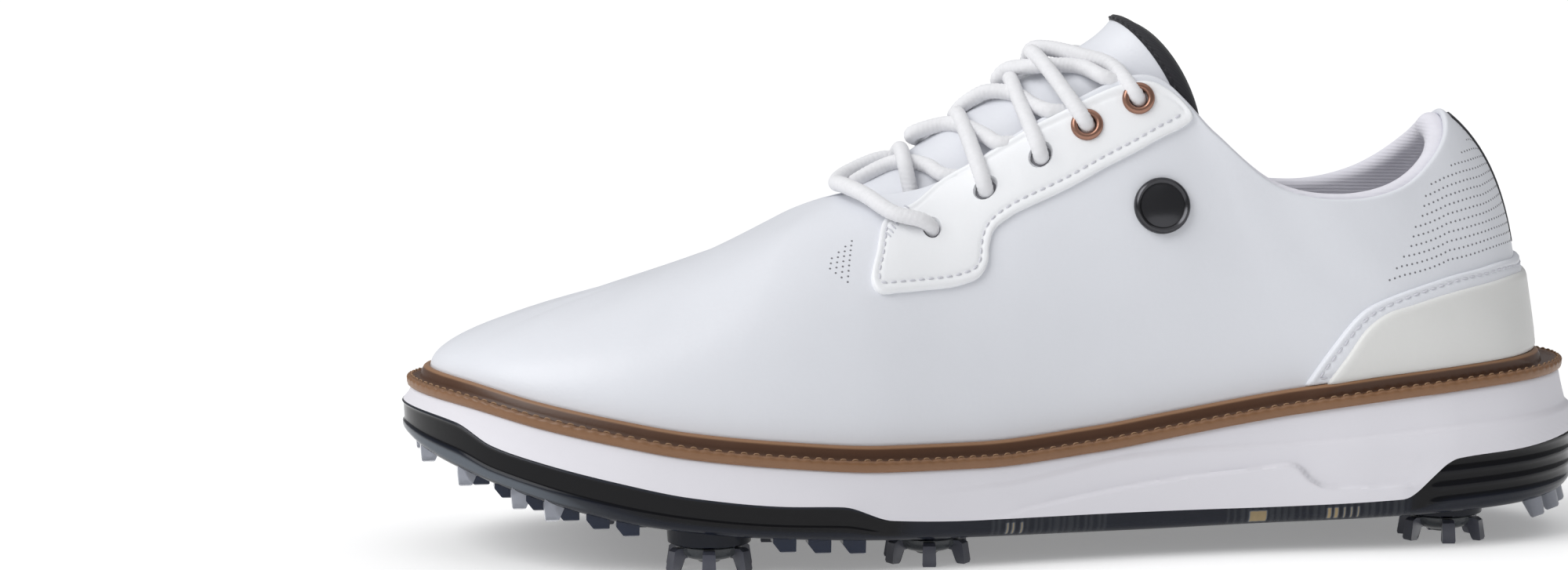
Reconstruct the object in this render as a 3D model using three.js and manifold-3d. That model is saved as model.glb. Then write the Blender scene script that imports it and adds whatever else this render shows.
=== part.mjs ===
import * as THREE from 'three'
import { mergeVertices } from 'three/addons/utils/BufferGeometryUtils.js'
import Module from 'manifold-3d'

// A laced golf shoe for the left foot. Millimetres, +Z up, the ground at z = 0.
// The toe points to -X, the heel to +X and the little-toe (lateral) side to -Y.

const wasm = await Module()
wasm.setup()

// ---- Driving dimensions -------------------------------------------------------------

const BEYOND = 70 // farther from the centre plane than every piece
const BACKSTAY = { halfWidth: 4, low: 78, high: 108 }
const GAP = 0.3 // clearance between two pieces that touch on the real shoe
const UPPER = 1.8 // thickness of the upper's leather
const OVERLAY = 1.5 // thickness of the pieces sewn on the upper
const LINER = 1.2 // thickness of linings and stiffeners
const WELT_LIP = 3 // height of the welt's outer lip
const FEATHER_RISE = 5.2 // the upper leaves the sole this far above the welt's lower face
const FEATHER_INSET = 5.6 // and this far inside the welt's edge
const HEEL_INSET = 4.4 // and this much farther inside it at the back of the heel
const PLATE = 4 // thickness of the outsole's floor
const BOARD = 2 // thickness of the lasting board
const INSOLE = 4 // and of the footbed on it
const WALL = 2.2 // thickness of the outsole's side wall
const NEST = 2 // clearance of the midsole inside the outsole's cup, which is coarsely faceted
const BOSS_Z = 6.6 // lower face of the outsole's cleat bosses
const HOLE_RADIUS = 2.6 // lace holes and the bore of an eyelet
const LACE_RADIUS = 1.6
const AGLET_RADIUS = 1.2
const TONGUE = 3.2 // thickness of the tongue
const TAPE = 0.6 // the tongue's binding stands this far proud of it

// Cleat centres, as [x, y].
const CLEATS = {
  front_lateral: [-81, -37],
  front_medial: [-90, 35],
  middle_medial: [-60, 8],
  rear_lateral: [-25, -33],
  rear_medial: [-28, 31],
  heel_lateral: [114, -20],
  heel_medial: [97, 21],
}

// Stations from the toe to the heel. outline: x of the welt's edge and its distance from the
// centre plane on each side. top: the upper's top edge, which is the vamp's ridge up to station
// RIDGE_END, then the edge of the throat, then the collar. shape: how far the wall rises and
// swells as it leaves the sole, and how far it reaches out and drops as it leaves the top edge.
const STATIONS = [
  { outline: [-153, -6, 6], top: [-100, 0, 0, 67.6], shape: [0.36, 1.5, 0.5, 0] },
  { outline: [-147, 14, 26], top: [-96.5, 0, 0, 68.6], shape: [0.4, 1.5, 0.5, 0] },
  { outline: [-131, 33, 41], top: [-87, 0, 0, 71.6], shape: [0.45, 2, 0.5, 0] },
  { outline: [-106, 46, 49.4], top: [-68, 0, 0, 78.6], shape: [0.5, 2, 0.52, 0] },
  { outline: [-76, 51.9, 52.4], top: [-46, 0, 0, 89], shape: [0.52, 2, 0.55, 0] },
  { outline: [-46, 52, 49.3], top: [-34, 9.5, 9, 90.6], shape: [0.5, 2.5, 0.48, 0.05] },
  { outline: [-16, 47, 42.5], top: [-18, 14.5, 13.5, 95], shape: [0.44, 3, 0.42, 0.14] },
  { outline: [14, 41.5, 37], top: [9, 16.5, 15, 111.5], shape: [0.38, 3, 0.36, 0.22] },
  { outline: [42, 38.5, 34.5], top: [34, 20.5, 18.5, 121.5], shape: [0.36, 3, 0.28, 0.28] },
  { outline: [66, 37.5, 33.5], top: [50.5, 26, 24, 106.5], shape: [0.35, 3, 0.18, 0.34] },
  { outline: [90, 38, 34.5], top: [67, 28, 26.5, 93], shape: [0.35, 3, 0.1, 0.36] },
  { outline: [113, 36.5, 34.5], top: [84, 29, 28, 89.6], shape: [0.34, 2.5, 0.06, 0.36] },
  { outline: [132.5, 30, 29.5], top: [101, 26, 25.5, 92.8], shape: [0.33, 1, 0.12, 0.34] },
  { outline: [146, 16.5, 16.5], top: [114, 15.5, 15.5, 103.5], shape: [0.3, -0.8, 0.55, 0.27] },
  { outline: [150.8, 0, 0], top: [118, 0, 0, 111], shape: [0.29, -2.6, 0.85, 0.24] },
]
const LAST = STATIONS.length - 1
const STEP = 1e-3 // step of a slope or a normal, in stations or shares
const RIDGE_END = 4
const AROUND = 2 * LAST // the ring runs down the lateral side and back up the medial side
const RIB_TURN = 9 // from this station back, the wall leaves the top edge square to the outline
const LEAST_REACH = 25 // the top handle's reach counts on at least this plan distance
const COLUMNS = 2 // mesh columns per station
const ROWS = 8 // mesh rows from the feather edge to the top edge

// Side-view curves of the sole, as [x, z] from the toe to the heel.
const WELT_Z = curve([
  [-153, 41.5], [-140, 39.8], [-123, 36], [-105, 32.5], [-87, 29.4], [-64, 27], [-38, 25.2],
  [-14, 25], [17, 27.5], [36, 30.3], [70, 35.5], [108, 40], [130, 41.8], [153, 42.8],
])
const SOLE_Z = curve([
  [-155, 30.5], [-149, 26.3], [-140, 22.8], [-130, 19.6], [-115, 15.4], [-97, 12], [-70, 9.3],
  [-25, 7.4], [25, 6.7], [70, 7.4], [105, 8.6], [138, 10.4], [150, 12.6], [155, 17],
])
const CUP_LATERAL = curve([
  [-155, 38.5], [-142, 36], [-134, 31.2], [-123, 27.9], [-105, 23.7], [-87, 20.1], [-64, 17.7],
  [-50, 17.2], [-37, 13.2], [-14, 12.1], [52, 12.1], [97, 13.4], [112, 23.5], [130, 25.1],
  [155, 28.7],
])
const CUP_MEDIAL = curve([
  [-155, 38.5], [-142, 36.6], [-131, 27], [-121, 20.5], [-105, 17.4], [-85, 16.4], [-40, 14.2],
  [-14, 12.4], [52, 12.1], [97, 13.4], [112, 23.5], [130, 25.1], [155, 28.7],
])
const BOARD_INSET = curve([
  [-153, 13], [-120, 8.6], [-60, 7.9], [115, 8.2], [132, 9.2], [144, 11.6], [151, 13],
])
const INSOLE_INSET = curve([
  [-153, 26], [-135, 19], [-105, 13.5], [-60, 11.4], [110, 11.4], [130, 12.8], [144, 16], [152, 18],
])
const FLARE = curve([
  [-153, 1.5], [-130, 1.2], [-80, 1], [-20, 0.6], [40, 0.4], [90, 1.2], [125, 2.2], [150.8, 3.7],
])

// Lace holes on each side, from the toe: [station, height share]. The top two have metal eyelets.
const LACE_HOLES = [[5.78, 0.723], [6.37, 0.82], [6.87, 0.843], [7.32, 0.88], [7.84, 0.913]]
const METAL_EYELETS = { 3: 'front', 4: 'rear' }
const TOP_HOLE = LACE_HOLES.length - 1

// Outlines in side view, as [x, z] corners of a closed shape that cuts across the shoe.
const EYESTAY_OUTLINE = [
  [-34, 86], [-37.5, 78], [-39.8, 71], [-38, 68.2], [-26, 68.6], [-14.5, 70], [-10, 72.8],
  [-8.6, 78], [-7, 82.6], [-2.5, 86], [8, 90.8], [20, 96.8], [32.4, 103.1], [46.5, 110],
  [52, 112], [44, 122], [30, 130], [-8, 110], [-26, 96],
]
const HEEL_COVER_OUTLINE = [
  [72.7, 42.9], [78.2, 49.8], [84.2, 57.5], [89.5, 62.1], [99, 65.8], [112.6, 69.3],
  [135, 72.2], [160, 74], [160, 50.4], [108, 47.1],
]
const THROAT_CLEARANCE = [[-50, 100], [-40, 68], [-8, 68], [12, 78], [50, 90], [52, 140], [-20, 140]]

// ---- Curves and surfaces of the shoe ------------------------------------------------

// A smooth single-valued curve through [x, z] points that doesn't overshoot them.
function curve(points) {
  const slopes = points.map((_, i) => {
    if (i === 0 || i === points.length - 1) {
      const [a, b] = i === 0 ? [points[0], points[1]] : [points[i - 1], points[i]]
      return (b[1] - a[1]) / (b[0] - a[0])
    }
    const before = (points[i][1] - points[i - 1][1]) / (points[i][0] - points[i - 1][0])
    const after = (points[i + 1][1] - points[i][1]) / (points[i + 1][0] - points[i][0])
    return before * after <= 0 ? 0 : (2 * before * after) / (before + after)
  })
  return (x) => {
    const last = points.length - 1
    const at = Math.min(Math.max(x, points[0][0]), points[last][0])
    let i = 0
    while (i < last - 1 && points[i + 1][0] < at) i++
    const width = points[i + 1][0] - points[i][0]
    const f = (at - points[i][0]) / width
    const g = 1 - f
    const ends = points[i][1] * (1 + 2 * f) * g * g + points[i + 1][1] * f * f * (3 - 2 * f)
    return ends + width * (slopes[i] * f * g * g - slopes[i + 1] * f * f * g)
  }
}

const isLateral = (s) => ((s % AROUND) + AROUND) % AROUND <= LAST

function stationOf(s) {
  const around = ((s % AROUND) + AROUND) % AROUND
  return around <= LAST ? around : AROUND - around
}

// Closed Catmull-Rom spline over the ring of stations; pick gives one control value.
function ringSpline(pick, s) {
  const whole = Math.floor(s)
  const f = s - whole
  const value = (offset) => {
    const around = (((whole + offset) % AROUND) + AROUND) % AROUND
    const lateral = around <= LAST
    return pick(STATIONS[lateral ? around : AROUND - around], lateral)
  }
  const [a, b, c, d] = [value(-1), value(0), value(1), value(2)]
  const bend = (2 * a - 5 * b + 4 * c - d) * f * f + (3 * b - a - 3 * c + d) * f * f * f
  return 0.5 * (2 * b + (c - a) * f + bend)
}

// Plan view of the welt's edge, moved outwards by offset.
function outline(s, offset = 0) {
  const x = (at) => ringSpline((station) => station.outline[0], at)
  const y = (at) => ringSpline(({ outline: o }, lateral) => (lateral ? -o[1] : o[2]), at)
  const [dx, dy] = [x(s + STEP) - x(s - STEP), y(s + STEP) - y(s - STEP)]
  const along = new THREE.Vector2(dx, dy).normalize()
  const out = new THREE.Vector3(along.y, -along.x, 0)
  return { x: x(s) + out.x * offset, y: y(s) + out.y * offset, out }
}

function topEdge(s) {
  const x = ringSpline((station) => station.top[0], s)
  const z = ringSpline((station) => station.top[3], s)
  const side = ringSpline(({ top }, lateral) => (lateral ? -top[1] : top[2]), s)
  const y = isLateral(s) ? Math.min(side, 0) : Math.max(side, 0)
  return new THREE.Vector3(x, stationOf(s) <= RIDGE_END ? 0 : y, z)
}

function ridgeSlope(s) {
  const at = Math.min(Math.max(stationOf(s), 0.3), RIDGE_END)
  const fade = Math.min(Math.max((RIDGE_END + 2 - stationOf(s)) / 2, 0), 1)
  const step = topEdge(at + STEP).sub(topEdge(at - STEP))
  return (fade * step.z) / step.x
}

const smoothStep = (share) => share * share * (3 - 2 * share)

function featherInset(s) {
  const share = Math.min(Math.max((stationOf(s) - 11.5) / 2.5, 0), 1)
  return FEATHER_INSET + HEEL_INSET * smoothStep(share)
}

// Outer face of the upper. s runs around the ring, t from the feather edge (0) to the top (1).
function upperFace(s, t) {
  const foot = outline(s, -featherInset(s))
  const low = new THREE.Vector3(foot.x, foot.y, WELT_Z(foot.x) + FEATHER_RISE)
  const high = topEdge(s)
  const [rise, swell, reach, drop] = [0, 1, 2, 3].map((i) => ringSpline(({ shape }) => shape[i], s))
  const height = high.z - low.z
  const away = new THREE.Vector3(low.x - high.x, low.y - high.y, 0)
  const distance = Math.max(away.length(), LEAST_REACH)
  const turn = Math.min(Math.max((stationOf(s) - RIB_TURN) / 2, 0), 1)
  away.normalize().multiplyScalar(1 - turn).addScaledVector(foot.out, turn)
  const lowHandle = low.clone().addScaledVector(foot.out, swell).add(new THREE.Vector3(0, 0, rise * height))
  const highHandle = high.clone().addScaledVector(away, reach * distance)
  highHandle.z += reach * distance * away.x * ridgeSlope(s) - drop * height
  const u = 1 - t
  return low.multiplyScalar(u ** 3)
    .addScaledVector(lowHandle, 3 * u * u * t)
    .addScaledVector(highHandle, 3 * u * t * t)
    .addScaledVector(high, t ** 3)
}

// On the ridge the two sides meet, so the normal there lies in the centre plane.
function upperNormal(s, t) {
  if (t > 1 - STEP && stationOf(s) <= RIDGE_END) {
    const at = Math.max(stationOf(s), STEP)
    const along = topEdge(at + STEP).sub(topEdge(at - STEP))
    return new THREE.Vector3(-along.z, 0, along.x).normalize()
  }
  const along = upperFace(s + STEP, t).sub(upperFace(s - STEP, t))
  const up = upperFace(s, t + STEP).sub(upperFace(s, t - STEP))
  return along.cross(up).normalize()
}

const onUpper = (s, t, depth) => upperFace(s, t).addScaledVector(upperNormal(s, t), depth)

const mirrored = (s) => AROUND - s

// ---- Building closed solids ---------------------------------------------------------

function solidFrom(points, quads) {
  const indices = quads.flatMap(([a, b, c, d]) => [a, b, c, a, c, d])
  const geometry = new THREE.BufferGeometry()
  const values = points.flatMap((point) => point.toArray())
  geometry.setAttribute('position', new THREE.Float32BufferAttribute(values, 3))
  geometry.setIndex(indices)
  return solid(geometry)
}

// A manifold solid from any closed three.js geometry.
function solid(geometry) {
  const bare = geometry.clone()
  bare.deleteAttribute('normal')
  bare.deleteAttribute('uv')
  const merged = mergeVertices(bare, 1e-4)
  const source = merged.index.array
  const triangles = []
  for (let i = 0; i < source.length; i += 3) {
    const [a, b, c] = [source[i], source[i + 1], source[i + 2]]
    if (a !== b && b !== c && a !== c) triangles.push(a, b, c)
  }
  const vertProperties = new Float32Array(merged.attributes.position.array)
  const triVerts = new Uint32Array(triangles)
  return new wasm.Manifold(new wasm.Mesh({ numProp: 3, vertProperties, triVerts }))
}

// A grid of points, closed in the second direction when wrap is set, with a cap at each end
// that joins the lateral half of a ring to its medial half.
function loft(rings) {
  const count = rings[0].length
  const points = rings.flat()
  const quads = []
  for (let r = 0; r < rings.length - 1; r++) {
    for (let i = 0; i < count; i++) {
      const next = (i + 1) % count
      quads.push([r * count + i, r * count + next, (r + 1) * count + next, (r + 1) * count + i])
    }
  }
  const top = (rings.length - 1) * count
  for (let i = 0; i < count / 2; i++) {
    const across = (count - i) % count
    quads.push([i + 1, i, across, count - i - 1])
    quads.push([top + i, top + i + 1, top + count - i - 1, top + across])
  }
  return solidFrom(points, quads)
}

// A closed tube of rings: the last ring joins the first.
function hoop(rings) {
  const count = rings[0].length
  const quads = []
  for (let r = 0; r < rings.length; r++) {
    for (let i = 0; i < count; i++) {
      const next = (i + 1) % count
      const above = ((r + 1) % rings.length) * count
      quads.push([r * count + i, r * count + next, above + next, above + i])
    }
  }
  return solidFrom(rings.flat(), quads)
}

// One ring of the sole: offset from the welt's edge, and height as a function of the point's x,
// its side and the x of the welt's edge beside it.
function soleRing(offset, height) {
  const ring = []
  for (let i = 0; i < AROUND * COLUMNS; i++) {
    const s = i / COLUMNS
    const base = outline(s)
    const { x, y } = outline(s, typeof offset === 'function' ? offset(base.x) : offset)
    ring.push(new THREE.Vector3(x, y, height(x, isLateral(s), base.x)))
  }
  return ring
}

const aboveWelt = (rise) => (x) => WELT_Z(x) + rise

// A shell that follows the upper between two depths, from one place on the ring to another.
function band({ from = 0, to = AROUND, low = 0, high = ROWS, outer, inner }) {
  const columns = Math.round((to - from) * COLUMNS)
  const closed = columns === AROUND * COLUMNS
  const lines = closed ? columns : columns + 1
  const rows = high - low + 1
  const points = []
  for (const depth of [outer, inner]) {
    for (let i = 0; i < lines; i++) {
      for (let j = 0; j < rows; j++) points.push(onUpper(from + i / COLUMNS, (low + j) / ROWS, depth))
    }
  }
  const at = (i, j, layer) => (layer * lines + (i % lines)) * rows + j
  const onRidge = (i) => high === ROWS && stationOf(from + i / COLUMNS) <= RIDGE_END
  const quads = []
  for (let i = 0; i < columns; i++) {
    for (let j = 0; j < rows - 1; j++) {
      quads.push([at(i, j, 0), at(i + 1, j, 0), at(i + 1, j + 1, 0), at(i, j + 1, 0)])
      quads.push([at(i, j, 1), at(i, j + 1, 1), at(i + 1, j + 1, 1), at(i + 1, j, 1)])
    }
    quads.push([at(i + 1, 0, 0), at(i, 0, 0), at(i, 0, 1), at(i + 1, 0, 1)])
    if (onRidge(i) && onRidge(i + 1)) continue
    quads.push([at(i, rows - 1, 0), at(i + 1, rows - 1, 0), at(i + 1, rows - 1, 1), at(i, rows - 1, 1)])
  }
  for (let j = 0; j < rows - 1 && !closed; j++) {
    quads.push([at(0, j, 0), at(0, j + 1, 0), at(0, j + 1, 1), at(0, j, 1)])
    quads.push([at(columns, j + 1, 0), at(columns, j, 0), at(columns, j, 1), at(columns, j + 1, 1)])
  }
  return solidFrom(points, quads)
}

// A straight prism across the shoe with the given side view, from y0 to y1.
function prism(corners, y0, y1) {
  const shape = new THREE.Shape(corners.map(([x, z]) => new THREE.Vector2(x, z)))
  const geometry = new THREE.ExtrudeGeometry(shape, { depth: y1 - y0, bevelEnabled: false })
  geometry.rotateX(Math.PI / 2)
  geometry.translate(0, y1, 0)
  return solid(geometry)
}

function cylinder(radius, low, high, sides = 20) {
  const geometry = new THREE.CylinderGeometry(radius, radius, high - low, sides)
  geometry.rotateX(Math.PI / 2)
  geometry.translate(0, 0, (low + high) / 2)
  return geometry
}

// A box from its lowest and highest corners.
function block(low, high) {
  const size = high.map((value, i) => value - low[i])
  const geometry = new THREE.BoxGeometry(...size)
  geometry.translate(...high.map((value, i) => (value + low[i]) / 2))
  return solid(geometry)
}

// A round profile of [radius, height] about +Z, closed on itself or on the axis.
function turned(profile, sides = 20) {
  const geometry = new THREE.LatheGeometry(profile.map(([r, z]) => new THREE.Vector2(r, z)), sides)
  geometry.rotateX(Math.PI / 2)
  return geometry
}

// Moves a geometry that is built about +Z to a place on the upper, with +Z along its normal.
function standOnUpper(geometry, s, t, depth = 0) {
  const turn = new THREE.Quaternion().setFromUnitVectors(new THREE.Vector3(0, 0, 1), upperNormal(s, t))
  const place = onUpper(s, t, depth)
  return geometry.applyMatrix4(new THREE.Matrix4().compose(place, turn, new THREE.Vector3(1, 1, 1)))
}

// A round cord along a path.
function cord(points, radius, steps, sides = 8) {
  const section = new THREE.Shape()
  for (let i = 0; i < sides; i++) {
    const angle = (i / sides) * 2 * Math.PI
    section[i ? 'lineTo' : 'moveTo'](radius * Math.cos(angle), radius * Math.sin(angle))
  }
  const extrudePath = new THREE.CatmullRomCurve3(points, false, 'centripetal')
  return solid(new THREE.ExtrudeGeometry(section, { steps, extrudePath, bevelEnabled: false }))
}

// A three.js geometry with the triangles of a manifold solid.
function geometryOf(shape) {
  const mesh = shape.getMesh()
  const geometry = new THREE.BufferGeometry()
  geometry.setAttribute('position', new THREE.BufferAttribute(mesh.vertProperties, 3))
  geometry.setIndex(new THREE.BufferAttribute(mesh.triVerts, 1))
  return geometry
}

const group = new THREE.Group()

function add(name, shape, colour, roughness = 0.6, metalness = 0) {
  const geometry = geometryOf(shape)
  geometry.computeVertexNormals()
  const material = new THREE.MeshStandardMaterial({ color: colour, roughness, metalness })
  const node = new THREE.Mesh(geometry, material)
  node.name = name
  group.add(node)
}

const WHITE = 0xeceaee
const IVORY = 0xe2dfd6
const FOAM = 0xe6e4ee
const KNIT = 0xd9d8e4
const BROWN = 0x85573c
const TAN = 0xb59a72
const BLACK = 0x15151c
const SMOKE = 0x8f90a4
const COPPER = 0x9c5f45
const STEEL = 0x9a9ca2

// ---- Sole ---------------------------------------------------------------------------

const WELT_INSET = 13 // the welt's inner edge lies this far inside its outer edge
// Insets and rise of the bead that stands behind the welt's lip, against the upper.
const BEAD = { foot: 3, outer: 3.6, inner: 4.8, end: 5.3, rise: 6.1 }

function weltRing() {
  const top = FEATHER_RISE - GAP
  const section = [
    [0, GAP], [0, WELT_LIP], [GAP - BEAD.foot, WELT_LIP + 0.2], [-BEAD.foot, WELT_LIP + 1],
    [-BEAD.outer, BEAD.rise], [-BEAD.inner, BEAD.rise], [-BEAD.end, top],
    [-WELT_INSET, top], [-WELT_INSET, GAP],
  ]
  return hoop(section.map(([offset, rise]) => soleRing(offset, aboveWelt(rise))))
}

// A flat piece inside the sole, between two heights above the welt's lower face.
function soleSheet(offset, low, high) {
  return loft([soleRing(offset, aboveWelt(low)), soleRing(offset, aboveWelt(high))])
}

const SHANK = { from: -12, to: 88, halfWidth: 9, low: 1.4, high: 3 }
const HIGHEST_SOLE = 80 // above every piece of the sole

// A strip of the sole along the arch, between two heights above the welt's lower face.
function archStrip(margin, low, high) {
  const { from, to, halfWidth } = SHANK
  const corner = [to + margin, halfWidth + margin, HIGHEST_SOLE]
  const area = block([from - margin, -halfWidth - margin, 0], corner)
  return soleSheet(-WELT_INSET - 1, low, high).intersect(area)
}

const cupHeight = (_, lateral, edgeX) => (lateral ? CUP_LATERAL(edgeX) : CUP_MEDIAL(edgeX))
const cupTop = (...place) => cupHeight(...place) + GAP

const TREAD_INSET = 4 // the outsole's flat lower face lies this far inside the welt's edge
const TURN_HEIGHT = 3 // the outsole's lower edge turns up over this height
const CUP_INSET = 5.5 // the floor of the outsole's cup

function outsoleCup() {
  return loft([
    soleRing(-TREAD_INSET, (x) => SOLE_Z(x)),
    soleRing((x) => FLARE(x) - 0.8, (x) => SOLE_Z(x) + TURN_HEIGHT),
    soleRing(FLARE, cupHeight),
    soleRing((x) => FLARE(x) - WALL, cupHeight),
    soleRing(-CUP_INSET, (x) => SOLE_Z(x) + PLATE),
  ])
}

function midsoleBlock() {
  return loft([
    soleRing(-CUP_INSET - NEST, (x) => SOLE_Z(x) + PLATE + NEST),
    soleRing((x) => FLARE(x) - WALL - NEST, cupTop),
    soleRing(FLARE, cupTop),
    soleRing(-0.6, (x) => WELT_Z(x)),
  ])
}

const RECEPTACLE = { radius: 7, height: 7.4, bore: 4.7, boreDepth: 5.6 }
const BOSS_RADIUS = 10.5

const place = (geometry, [x, y], z = 0) => solid(geometry.translate(x, y, z))

// A threaded socket moulded into the outsole, shown with a plain bore.
function receptacle(centre) {
  const { radius, height, bore, boreDepth } = RECEPTACLE
  const profile = [
    [bore, 0], [radius, 0], [radius, height], [0, height], [0, boreDepth], [bore, boreDepth],
    [bore, 0],
  ]
  return place(turned(profile, 12), centre, BOSS_Z)
}

const receptacleCut = (centre) => place(
  cylinder(RECEPTACLE.radius + GAP, BOSS_Z - 2, BOSS_Z + RECEPTACLE.height + GAP), centre)

const CLEAT = {
  stem: 4.4, stemTop: 11.6, hub: 8.2, hubTop: BOSS_Z - GAP, hubLow: 3.6,
  reach: 11.4, foot: 2.6, legs: 6, legWidth: 3, firstLeg: Math.PI / 8,
}

// A soft spike: a stem that twists into the socket, a round hub and a ring of raked legs.
function cleat(centre) {
  const { stem, stemTop, hub, hubTop, hubLow, reach, foot, legs, legWidth, firstLeg } = CLEAT
  let body = solid(turned([
    [0, 1.6], [3.2, 2.2], [hub - 1.2, hubLow], [hub, hubLow + 0.8], [hub, hubTop],
    [stem, hubTop], [stem, stemTop], [0, stemTop],
  ], 12))
  const side = new THREE.Shape([
    [hub - 2.6, hubTop - 0.4], [reach - 2.2, hubTop - 0.6], [reach, 0], [reach - foot, 0],
    [hub - 3.4, hubLow],
  ].map(([r, z]) => new THREE.Vector2(r, z)))
  for (let i = 0; i < legs; i++) {
    const leg = new THREE.ExtrudeGeometry(side, { depth: legWidth, bevelEnabled: false })
    leg.translate(0, 0, -legWidth / 2)
    leg.rotateX(Math.PI / 2)
    leg.rotateZ(firstLeg + (i / legs) * 2 * Math.PI)
    body = body.add(solid(leg))
  }
  return place(geometryOf(body), centre)
}

function addSole() {
  const centres = Object.values(CLEATS)
  let outsole = outsoleCup()
  let midsole = midsoleBlock()
  for (const centre of centres) {
    const bossTop = SOLE_Z(centre[0]) + PLATE - 1
    outsole = outsole.add(place(cylinder(BOSS_RADIUS, BOSS_Z, bossTop), centre))
  }
  for (const centre of centres) {
    outsole = outsole.subtract(receptacleCut(centre))
    midsole = midsole.subtract(receptacleCut(centre))
  }
  add('outsole', outsole, BLACK, 0.2)
  add('midsole', midsole, FOAM, 0.7)
  add('welt', weltRing(), BROWN, 0.5)
  add('shank', archStrip(0, SHANK.low, SHANK.high), STEEL, 0.35, 0.9)
  const slot = archStrip(GAP, SHANK.low - GAP, FEATHER_RISE + 1)
  const filler = soleSheet(-WELT_INSET - GAP, GAP, FEATHER_RISE - GAP)
  add('bottom_filler', filler.subtract(slot), TAN, 0.9)
  const boardTop = FEATHER_RISE + BOARD
  add('lasting_board', soleSheet((x) => -BOARD_INSET(x), FEATHER_RISE, boardTop), TAN, 0.9)
  const insoleLow = boardTop + 0.4
  add('insole', soleSheet((x) => -INSOLE_INSET(x), insoleLow, insoleLow + INSOLE), KNIT, 0.9)
  for (const [name, centre] of Object.entries(CLEATS)) {
    add(`receptacle_${name}`, receptacle(centre), BLACK, 0.4)
    add(`cleat_${name}`, cleat(centre), SMOKE, 0.3)
  }
}

// ---- Upper --------------------------------------------------------------------------

const medialHole = ([station, share]) => [mirrored(station), share]

function holesThrough(shape) {
  let result = shape
  LACE_HOLES.forEach((hole, i) => {
    const radius = HOLE_RADIUS + (METAL_EYELETS[i] ? 1 : 0)
    for (const [s, t] of [hole, medialHole(hole)]) {
      result = result.subtract(solid(standOnUpper(cylinder(radius, -4, 4, 10), s, t)))
    }
  })
  return result
}

function eyestay(y0, y1) {
  const sheet = band({ outer: GAP + OVERLAY, inner: GAP })
  return holesThrough(sheet.intersect(prism(EYESTAY_OUTLINE, y0, y1)))
}

const EYELET = { wall: 0.6, flange: 4, foot: -1.2, crown: 0.9 }

// A rolled metal ring that lines the top lace holes.
function eyelet([s, t]) {
  const { wall, flange, foot, crown } = EYELET
  const outer = HOLE_RADIUS + wall
  const seat = 2 * GAP + OVERLAY
  return solid(standOnUpper(turned([
    [HOLE_RADIUS, foot], [outer, foot], [outer, seat], [flange, seat],
    [flange - 0.4, seat + 0.7], [HOLE_RADIUS + 0.4, seat + crown],
    [HOLE_RADIUS, seat + crown / 2], [HOLE_RADIUS, foot],
  ], 12), s, t))
}

// The lining lies inside the stiffeners, from the sole up to the collar.
const STIFF = { outer: -(UPPER + GAP), inner: -(UPPER + GAP + LINER) }
const LINING = { outer: STIFF.inner - GAP, inner: STIFF.inner - GAP - LINER }

const BADGE = { s: 7.9, t: 0.58, radius: 7.2, low: 0.9, rim: 1.8, high: 3.1 }

// A plain domed disc on the lateral quarter.
function badge() {
  const { s, t, radius, low, rim, high } = BADGE
  const profile = [[0, low], [radius, low], [radius, rim], [radius - 0.8, high - 0.5], [0, high]]
  return solid(standOnUpper(turned(profile, 24), s, t))
}

// Centre line and edge line of the tongue's upper face, from its sewn end to its free end.
const TONGUE_CENTRE = new THREE.CatmullRomCurve3([
  [-42, 86], [-30, 93], [-14, 103], [2, 113.5], [16, 123], [25, 130.5], [30.5, 136],
].map(([x, z]) => new THREE.Vector3(x, 0, z)))
const TONGUE_EDGE = new THREE.CatmullRomCurve3([
  [-40, 3.5, 83], [-29, 9, 78], [-14, 12.5, 80], [3, 13.5, 88], [20, 14, 96], [36, 16, 101], [49, 19, 107],
].map(([x, y, z]) => new THREE.Vector3(x, y, z)))

// u runs along the tongue, v across it from the lateral edge (-1) to the medial edge (1).
function tongueFace(u, v) {
  const side = Math.sign(v) || 1
  const centre = TONGUE_CENTRE.getPoint(u)
  const edge = TONGUE_EDGE.getPoint(u).multiply(new THREE.Vector3(1, side > 0 ? 0.88 : -1, 1))
  const width = Math.abs(edge.y)
  const drop = centre.z - edge.z
  const roundness = 0.45 + 0.35 * u ** 4
  const crown = centre.clone().add(new THREE.Vector3(0.1 * (edge.x - centre.x), side * roundness * width, 0))
  const lift = new THREE.Vector3(-0.25 * (edge.x - centre.x), 0, (roundness - 0.15) * drop)
  const shoulder = edge.clone().add(lift)
  const w = Math.abs(v)
  const rest = 1 - w
  return centre.multiplyScalar(rest ** 3)
    .addScaledVector(crown, 3 * rest * rest * w)
    .addScaledVector(shoulder, 3 * rest * w * w)
    .addScaledVector(edge, w ** 3)
}

function tongueNormal(u, v) {
  const along = tongueFace(Math.min(u + STEP, 1), v).sub(tongueFace(Math.max(u - STEP, 0), v))
  const across = tongueFace(u, v + STEP).sub(tongueFace(u, v - STEP))
  return along.cross(across).normalize()
}

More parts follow.
